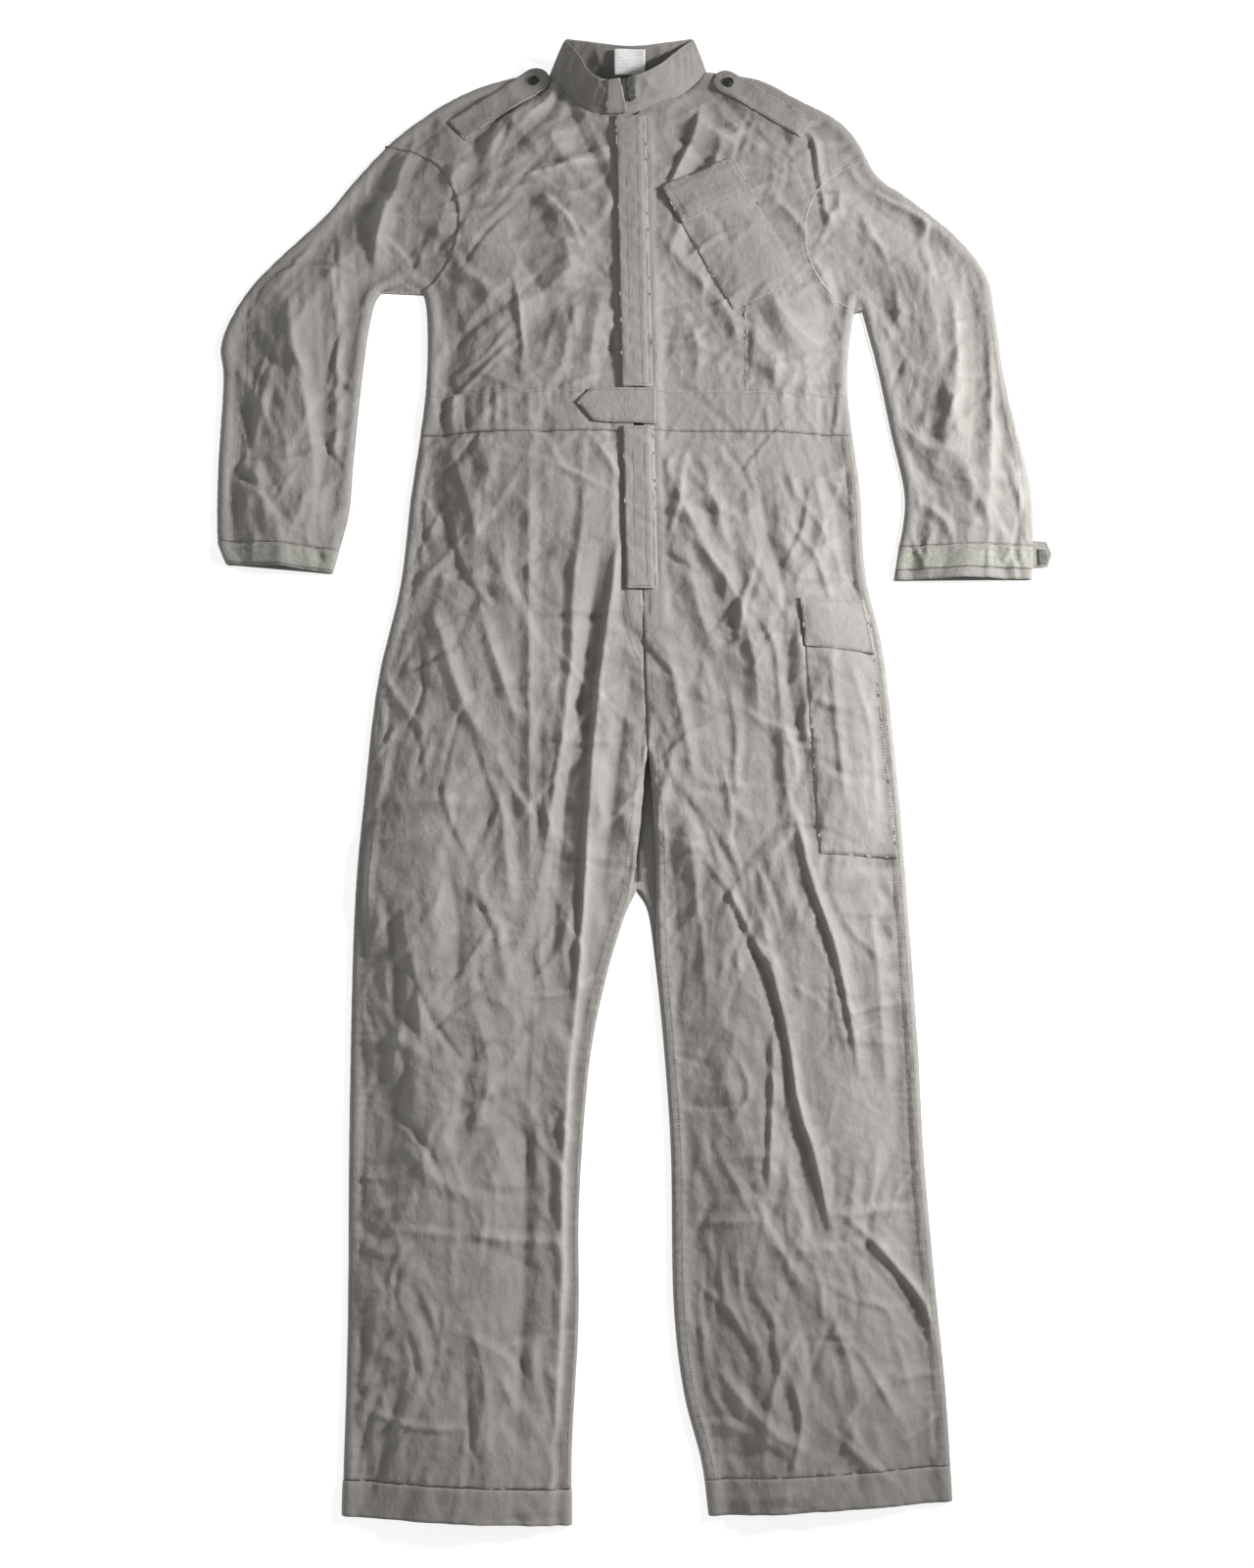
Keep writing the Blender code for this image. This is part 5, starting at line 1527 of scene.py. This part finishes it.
def add_pockets():
    add_pocket("chest_pocket", CHEST_POCKET, CHEST_FLAP, (CHEST_FLAP[0], CHEST_FLAP[3]), "chest_lid", 0.0042,
               (0.0026, 0.0100), [(0.077, 0.6140), (0.083, 0.6050), (0.110, 0.6185), (0.104, 0.6285)])
    add_pocket("cargo_pocket", CARGO_POCKET, CARGO_FLAP, (CARGO_FLAP[0], CARGO_FLAP[3]), "cargo_lid", 0.0042,
               (0.0026,), [(0.196, 0.1120), (0.196, 0.1000), (0.228, 0.0990), (0.228, 0.1110)])


def add_straps():
    for side, (base, tip, half) in STRAPS.items():
        base, tip = np.array(base), np.array(tip)
        along = (tip - base) / np.linalg.norm(tip - base)
        carrier = ("garment", "shoulder_strap_" + side, (*base, TOP), (*(base + along * 0.010), TOP))
        ring = strap_outline(base, tip, half)
        trim(f"epaulette_{side}_cloth", ring, STRAP_LIFT, carrier, COTTON,
             ["epaulette_" + side], thickness=0.0014, surface=strap_surface)
        inner = inset(ring, 0.0026)
        stitched(f"stitches_epaulette_{side}", [looped(inner)],
                 lambda p: strap_surface(p, STRAP_LIFT), carrier)
        centre = tip - along * 0.019
        add_snap(side, strap_surface(centre[None], 0.0034)[0])


def strap_surface(points, lift):
    """The straps are washed and rumpled, so they ripple a little."""
    out = FIELD.over(points, lift)
    x, y = points[:, 0], points[:, 1]
    ripple = 0.0006 * np.sin(x / 0.0058 + 1.3 * np.sin(y / 0.011))
    out[:, 2] += ripple + 0.0004 * np.sin(y / 0.0041 - x / 0.009)
    return out


def turned(name, profile, centre, material, carrier, around=40):
    """A turned piece: profile points are radius and height above the centre."""
    points, faces = [], []
    for radius, height in profile:
        for i in range(around):
            a = 2 * math.pi * i / around
            x, y = centre[0] + radius * math.cos(a), centre[1] + radius * math.sin(a)
            points.append((x, y, centre[2] + height))
    for r in range(len(profile) - 1):
        for i in range(around):
            j = (i + 1) % around
            faces.append((r * around + i, r * around + j, (r + 1) * around + j, (r + 1) * around + i))
    faces.append(tuple(range(around))[::-1])
    faces.append(tuple((len(profile) - 1) * around + i for i in range(around)))
    return settle(make_mesh(name, points, faces, material), carrier)


def add_snap(side, centre):
    profile = [(0.0062, 0.0), (0.0066, 0.0004), (0.0062, 0.0011), (0.0052, 0.0016), (0.0048, 0.0013),
               (0.0040, 0.0015), (0.0025, 0.0021), (0.0008, 0.0023)]
    cap = turned("snap_cap_" + side, profile, centre, CAP, "shoulder_strap_" + side)
    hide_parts("epaulette_snap_" + side)


def add_wrist_tabs():
    ring = ring_of([(0.4400, 0.188), (0.4640, 0.190), (0.4695, 0.205), (0.4640, 0.220), (0.4400, 0.222)])
    carrier = ("sleeve_left", "wrist_strap_left", (0.4485, 0.205, 0), (0.4535, 0.205, 0))

    def flat(points, lift):
        return np.column_stack([points, np.full(len(points), lift)])

    trim("cuff_tab_left_cloth", ring, WRIST_TAB_LIFT, carrier, COTTON, ["cuff_tab_left"],
         thickness=0.0012, surface=flat)
    inner = inset(ring, 0.0024)
    stitched("stitches_cuff_tab_left", [looped(inner)], lambda p: flat(p, WRIST_TAB_LIFT), carrier)
    patch = ring_of([(0.4525, 0.192), (0.4620, 0.194), (0.4655, 0.202), (0.4620, 0.210), (0.4525, 0.211)])
    trim("cuff_hook_left_tape", patch, 0.0030, "wrist_strap_left", HOOK, ["cuff_hook_left"],
         edge=0.0002, thickness=0.0007, surface=flat)
    low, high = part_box("cuff_tab_right")
    ring = ring_of([(low.x, low.y), (high.x, low.y + 0.001), (high.x, high.y - 0.003), (low.x, high.y)])
    trim("cuff_tab_right_cloth", ring, 0.0010, "sleeve_right", COTTON, ["cuff_tab_right"],
         thickness=0.0007, surface=flat)


# Collar


COLLAR_TOPS = {
    "right": [(-0.079, 0.8165, 0.040), (-0.063, 0.794, 0.045), (-0.053, 0.772, 0.050),
              (-0.034, 0.7580, 0.052), (-0.0130, 0.7575, 0.052)],
    "left": [(-0.0120, 0.7575, 0.052), (0.008, 0.7635, 0.052), (0.031, 0.7765, 0.050),
             (0.050, 0.796, 0.045), (0.072, 0.8165, 0.040)],
    "back": [(-0.077, 0.8170, 0.039), (-0.052, 0.812, 0.042), (-0.004, 0.805, 0.044),
             (0.042, 0.811, 0.042), (0.070, 0.8170, 0.039)],
}
COLLAR_LOWS = {
    "right": [(-0.094, 0.7970, 0.010), (-0.079, 0.775, 0.017), (-0.063, 0.755, 0.022),
              (-0.044, 0.738, 0.0255), (-0.0130, 0.7335, 0.0262)],
    "left": [(-0.0120, 0.7345, 0.0262), (0.010, 0.7425, 0.0258), (0.034, 0.755, 0.024),
             (0.055, 0.768, 0.018), (0.085, 0.8000, 0.010)],
    "back": [(-0.086, 0.8000, 0.0075), (-0.056, 0.783, 0.0055), (-0.004, 0.771, 0.0050),
             (0.048, 0.783, 0.0055), (0.078, 0.8020, 0.0075)],
}


def space_curve(points, count):
    line = smooth(points, 0.002)
    steps = np.linalg.norm(np.diff(line, axis=0), axis=1)
    along = np.concatenate([[0], np.cumsum(steps)])
    spots = np.linspace(0, along[-1], count)
    return np.column_stack([np.interp(spots, along, line[:, i]) for i in range(3)])


def collar_point(part):
    """A function from shares along and up the band to points in space."""
    low, top = space_curve(COLLAR_LOWS[part], 121), space_curve(COLLAR_TOPS[part], 121)

    def place(s, t):
        spot = np.clip(np.asarray(s) * 120, 0, 120)
        t = np.asarray(t)[:, None]
        one, two, before, after = (
            np.column_stack([np.interp(at, np.arange(121), line[:, i]) for i in range(3)])
            for at, line in ((spot, low), (spot, top), (spot - 2, low), (spot + 2, low))
        )
        way = two - one
        run = after - before
        out = np.cross(run, way)
        out /= np.linalg.norm(out, axis=1)[:, None] + 1e-12
        out[out[:, 2] < 0] *= -1
        belly = np.sin(np.pi * np.clip(t, 0, 1))
        fold = 0.6 - 1.7 * np.abs(np.sin(s * 11 + 2.4 * t[:, 0] + 1.6 * np.sin(5 * s))) ** 0.8
        fold += 0.4 - np.abs(np.sin(s * 23 - 3.1 * t[:, 0] + 2 * np.sin(7 * s))) ** 0.8
        held = smoothstep(np.minimum(s, 1 - s) / 0.22)[:, None]
        fade = np.sqrt(belly) + 0.35 * np.clip(t, 0, 1) ** 2
        swell = 0.0014 * belly * held + 0.0013 * held * fold[:, None] * fade
        roll = -0.0022 * t**6
        return one + way * t + out * (swell + roll)

    return place


def add_collar():
    for part in ("back", "right", "left"):
        place = collar_point(part)
        name = "collar_back" if part == "back" else "collar_front_" + part
        length = float(np.linalg.norm(np.diff(space_curve(COLLAR_TOPS[part], 60), axis=0), axis=1).sum())
        tuck, height = (0.0, 0.050) if part == "back" else (0.22, 0.046)
        wide, tall = round(length / 0.002), 21
        s, t = np.meshgrid(np.linspace(0, 1, wide + 1), np.linspace(-tuck, 1, tall + 1))
        order = np.argsort(s.ravel(), kind="stable")
        s, t = s.ravel()[order], t.ravel()[order]
        points = place(s, t)
        high = tall + 1
        faces = [
            (c * high + r, (c + 1) * high + r, (c + 1) * high + r + 1, c * high + r + 1)
            for c in range(wide) for r in range(tall)
        ]
        plan = np.column_stack([s * length, t * 0.034])
        crest = 1.1 * np.exp(-(1 - t) / 0.05) + 0.6 * np.exp(-np.abs(t) / 0.05)
        obj = make_mesh(name + "_cloth", points, faces, COTTON, plan, crest, 0.0017, 0.0)
        round_off = obj.modifiers.new("soft_edge", "BEVEL")
        round_off.width = 0.0005
        round_off.segments = 2
        round_off.limit_method = "ANGLE"
        settle(obj, "garment")
        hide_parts(name)
        starts, stops = [], []
        for level in (0.10, 0.20, 0.88):
            count = int(length / 0.0034)
            spots = (np.arange(count) + 0.3) / count
            for raised in (0.0010, -0.0010):
                first = place(spots, np.full(count, level))
                last = place(spots + 0.68 / count, np.full(count, level))
                facing = [0, 0.85, 0.5] if part == "back" else [0, -0.35, 0.94]
                shift = np.array(facing) * raised
                starts.append(first + shift)
                stops.append(last + shift)
        stitch_mesh("stitches_" + name, (np.vstack(starts), np.vstack(stops)), "garment")
    add_collar_tab()
    add_label()


def add_collar_tab():
    low, top = np.array([-0.0130, 0.7335, 0.0262]), np.array([-0.0130, 0.7575, 0.052])
    lean = (top[2] - low[2]) / (top[1] - low[1])

    def over(points, lift):
        return np.column_stack([points, low[2] + lean * (points[:, 1] - low[1]) + lift])

    ring = ring_of([(-0.0305, 0.7300), (-0.0050, 0.7310), (-0.0140, 0.7575), (-0.0290, 0.7560)])
    carrier = ("garment", "collar_strap", (-0.0305, 0.7330, 0.03), (-0.0240, 0.7330, 0.03))
    trim("collar_tab_cloth", ring, COLLAR_TAB_LIFT, carrier, COTTON, ["collar_tab"], 0.0018,
         thickness=0.0014, surface=over)
    inner = inset(ring, 0.0024)
    stitched("stitches_collar_tab", [looped(inner)], lambda p: over(p, COLLAR_TAB_LIFT), carrier)
    hook = ring_of([(-0.0200, 0.7385), (-0.0110, 0.7390), (-0.0155, 0.7550), (-0.0200, 0.7550)])
    trim("collar_tab_hook_tape", hook, 0.0024, "collar_strap", HOOK, ["collar_tab_hook"], 0.0016,
         0.0002, 0.0006, surface=over)
    patch = ring_of([(-0.0045, 0.7395), (0.0045, 0.7420), (0.0030, 0.7605), (-0.0075, 0.7575)])
    trim("collar_loop_tape", patch, 0.0030, "garment", HOOK, ["collar_loop_patch"], 0.0016,
         0.0002, 0.0006, surface=over)


def add_label():
    wide, tall = 18, 14
    low_y, high_y = 0.7800, 0.8020
    points, plan = [], []
    for r in range(tall + 1):
        for c in range(wide + 1):
            s, t = c / wide, r / tall
            x = -0.0210 + 0.0360 * s
            y = low_y + (high_y - low_y) * t + 0.0006 * math.sin(3 * s)
            z = 0.0240 + 0.0190 * t + 0.0022 * math.sin(math.pi * t) + 0.0008 * math.sin(5 * s + 1)
            points.append((x, y, z))
            plan.append((0.036 * s, 0.028 * t))
    faces = [
        (r * (wide + 1) + c, r * (wide + 1) + c + 1, (r + 1) * (wide + 1) + c + 1, (r + 1) * (wide + 1) + c)
        for r in range(tall) for c in range(wide)
    ]
    obj = make_mesh("care_label_satin", points, faces, LABEL, plan, None, 0.0004, 0.0)
    settle(obj, "garment")
    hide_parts("care_label")


# Zip


def add_zip():
    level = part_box("zip_teeth_right")
    middle = (level[0].z + level[1].z) / 2
    pitch = 0.0021
    count = int((ZIP_TOP_Y - ZIP_LOW_Y - 0.005) / pitch)
    for side, sign in (("right", -1), ("left", 1)):
        points, faces = [], []
        for i in range(count):
            y = ZIP_LOW_Y + 0.005 + pitch * (i + (0.5 if sign > 0 else 0.0))
            start = len(points)
            for across, half_y, half_z in ((0.0034, 0.00055, 0.0010), (0.0012, 0.00050, 0.0010),
                                           (0.0004, 0.00075, 0.0007), (-0.0002, 0.00045, 0.0005)):
                x, _ = zip_at(sign * across, y)
                points += [(x, y - half_y, middle - half_z), (x, y + half_y, middle - half_z),
                           (x, y + half_y, middle + half_z), (x, y - half_y, middle + half_z)]
            for r in range(3):
                for k in range(4):
                    a, b = start + 4 * r + k, start + 4 * r + (k + 1) % 4
                    faces.append((a, b, b + 4, a + 4))
            faces += [(start + 3, start + 2, start + 1, start), tuple(start + 12 + k for k in range(4))]
        teeth = make_mesh("zip_chain_" + side, points, faces, BRASS)
        teeth.data.shade_flat()
        settle(teeth, "garment")
        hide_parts("zip_teeth_" + side)
        give(f"zip_tape_{side}", TAPE)
        give(f"zip_top_stop_{side}", BRASS)
    for name in ("zip_bottom_stop", "zip_slider", "zip_pull"):
        give(name, BRASS)


def give(name, material):
    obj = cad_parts[name]
    for spot in obj.material_slots:
        spot.material = material


# Stage


def add_stage():
    floor_material, tree, shader = nodes_of("floor", 0.9)
    place = node(tree, "ShaderNodeTexCoord").outputs["Object"]
    colour = blend_colour(tree, noise(tree, place, 3.0, 3.0), (0.50, 0.50, 0.50), (0.53, 0.53, 0.53))
    tree.links.new(colour, shader.inputs["Base Color"])
    shader.inputs["Emission Color"].default_value = (1.0, 1.0, 1.0, 1.0)
    shader.inputs["Emission Strength"].default_value = 0.75
    corners = [(-12, -12, 0), (12, -12, 0), (12, 12, 0), (-12, 12, 0)]
    floor = make_mesh("floor", corners, [(0, 1, 2, 3)], floor_material)

    world = bpy.data.worlds.new("studio")
    world.use_nodes = True
    world.node_tree.nodes["Background"].inputs["Color"].default_value = (1.0, 1.0, 1.0, 1.0)
    world.node_tree.nodes["Background"].inputs["Strength"].default_value = 0.315
    bpy.context.scene.world = world
    bpy.context.scene.view_settings.view_transform = "Standard"

    key = bpy.data.lights.new("key", "SPOT")
    key.energy = 352.0
    key.shadow_soft_size = 0.22
    key.spot_size = math.radians(64)
    key.spot_blend = 1.0
    fill = bpy.data.lights.new("fill", "AREA")
    fill.shape = "DISK"
    fill.size = 2.0
    fill.energy = 6.0
    for lamp, spot, aim in ((key, (1.9, 0.50, 1.10), (0.10, 0.05, 0)), (fill, (-1.2, -1.4, 2.6), (0, 0, 0))):
        obj = bpy.data.objects.new(lamp.name, lamp)
        obj.location = spot
        obj.rotation_euler = (Vector(aim) - Vector(spot)).to_track_quat("-Z", "Y").to_euler()
        bpy.context.scene.collection.objects.link(obj)

    camera = bpy.data.cameras.new("camera")
    camera.lens = 42.08
    camera.sensor_width = 36.0
    obj = bpy.data.objects.new("camera", camera)
    obj.location = (-0.006, -0.4376, 1.9633)
    obj.rotation_euler = (math.radians(11.0), 0, 0)
    bpy.context.scene.collection.objects.link(obj)
    bpy.context.scene.camera = obj


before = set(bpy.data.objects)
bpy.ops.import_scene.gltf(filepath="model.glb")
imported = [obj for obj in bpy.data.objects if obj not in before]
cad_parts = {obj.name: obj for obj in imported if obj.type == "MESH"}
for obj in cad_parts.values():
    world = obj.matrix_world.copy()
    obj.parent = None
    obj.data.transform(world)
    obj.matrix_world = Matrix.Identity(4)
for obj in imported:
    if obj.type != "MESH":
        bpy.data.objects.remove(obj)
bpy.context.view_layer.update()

COTTON = cotton_material("cotton", (0.304, 0.289, 0.272), (0.236, 0.223, 0.208), (0.350, 0.335, 0.318))
THREAD = thread_material()
LOOP = loop_material()
HOOK = hook_material()
TAPE = tape_material()
BRASS = metal_material("brass", (0.62, 0.50, 0.28), (0.30, 0.24, 0.14), 0.36)
CAP = metal_material("cap", (0.12, 0.12, 0.11), (0.05, 0.05, 0.045), 0.42)
LABEL = label_material()

add_stage()
note_seams()
FIELD = Field()
add_front_panels()
add_darts()
add_back_panels()
add_hems()
add_sleeves()
add_covers()
add_waist_tab()
add_pockets()
add_straps()
add_wrist_tabs()
add_collar()
add_zip()

bpy.context.view_layer.update()
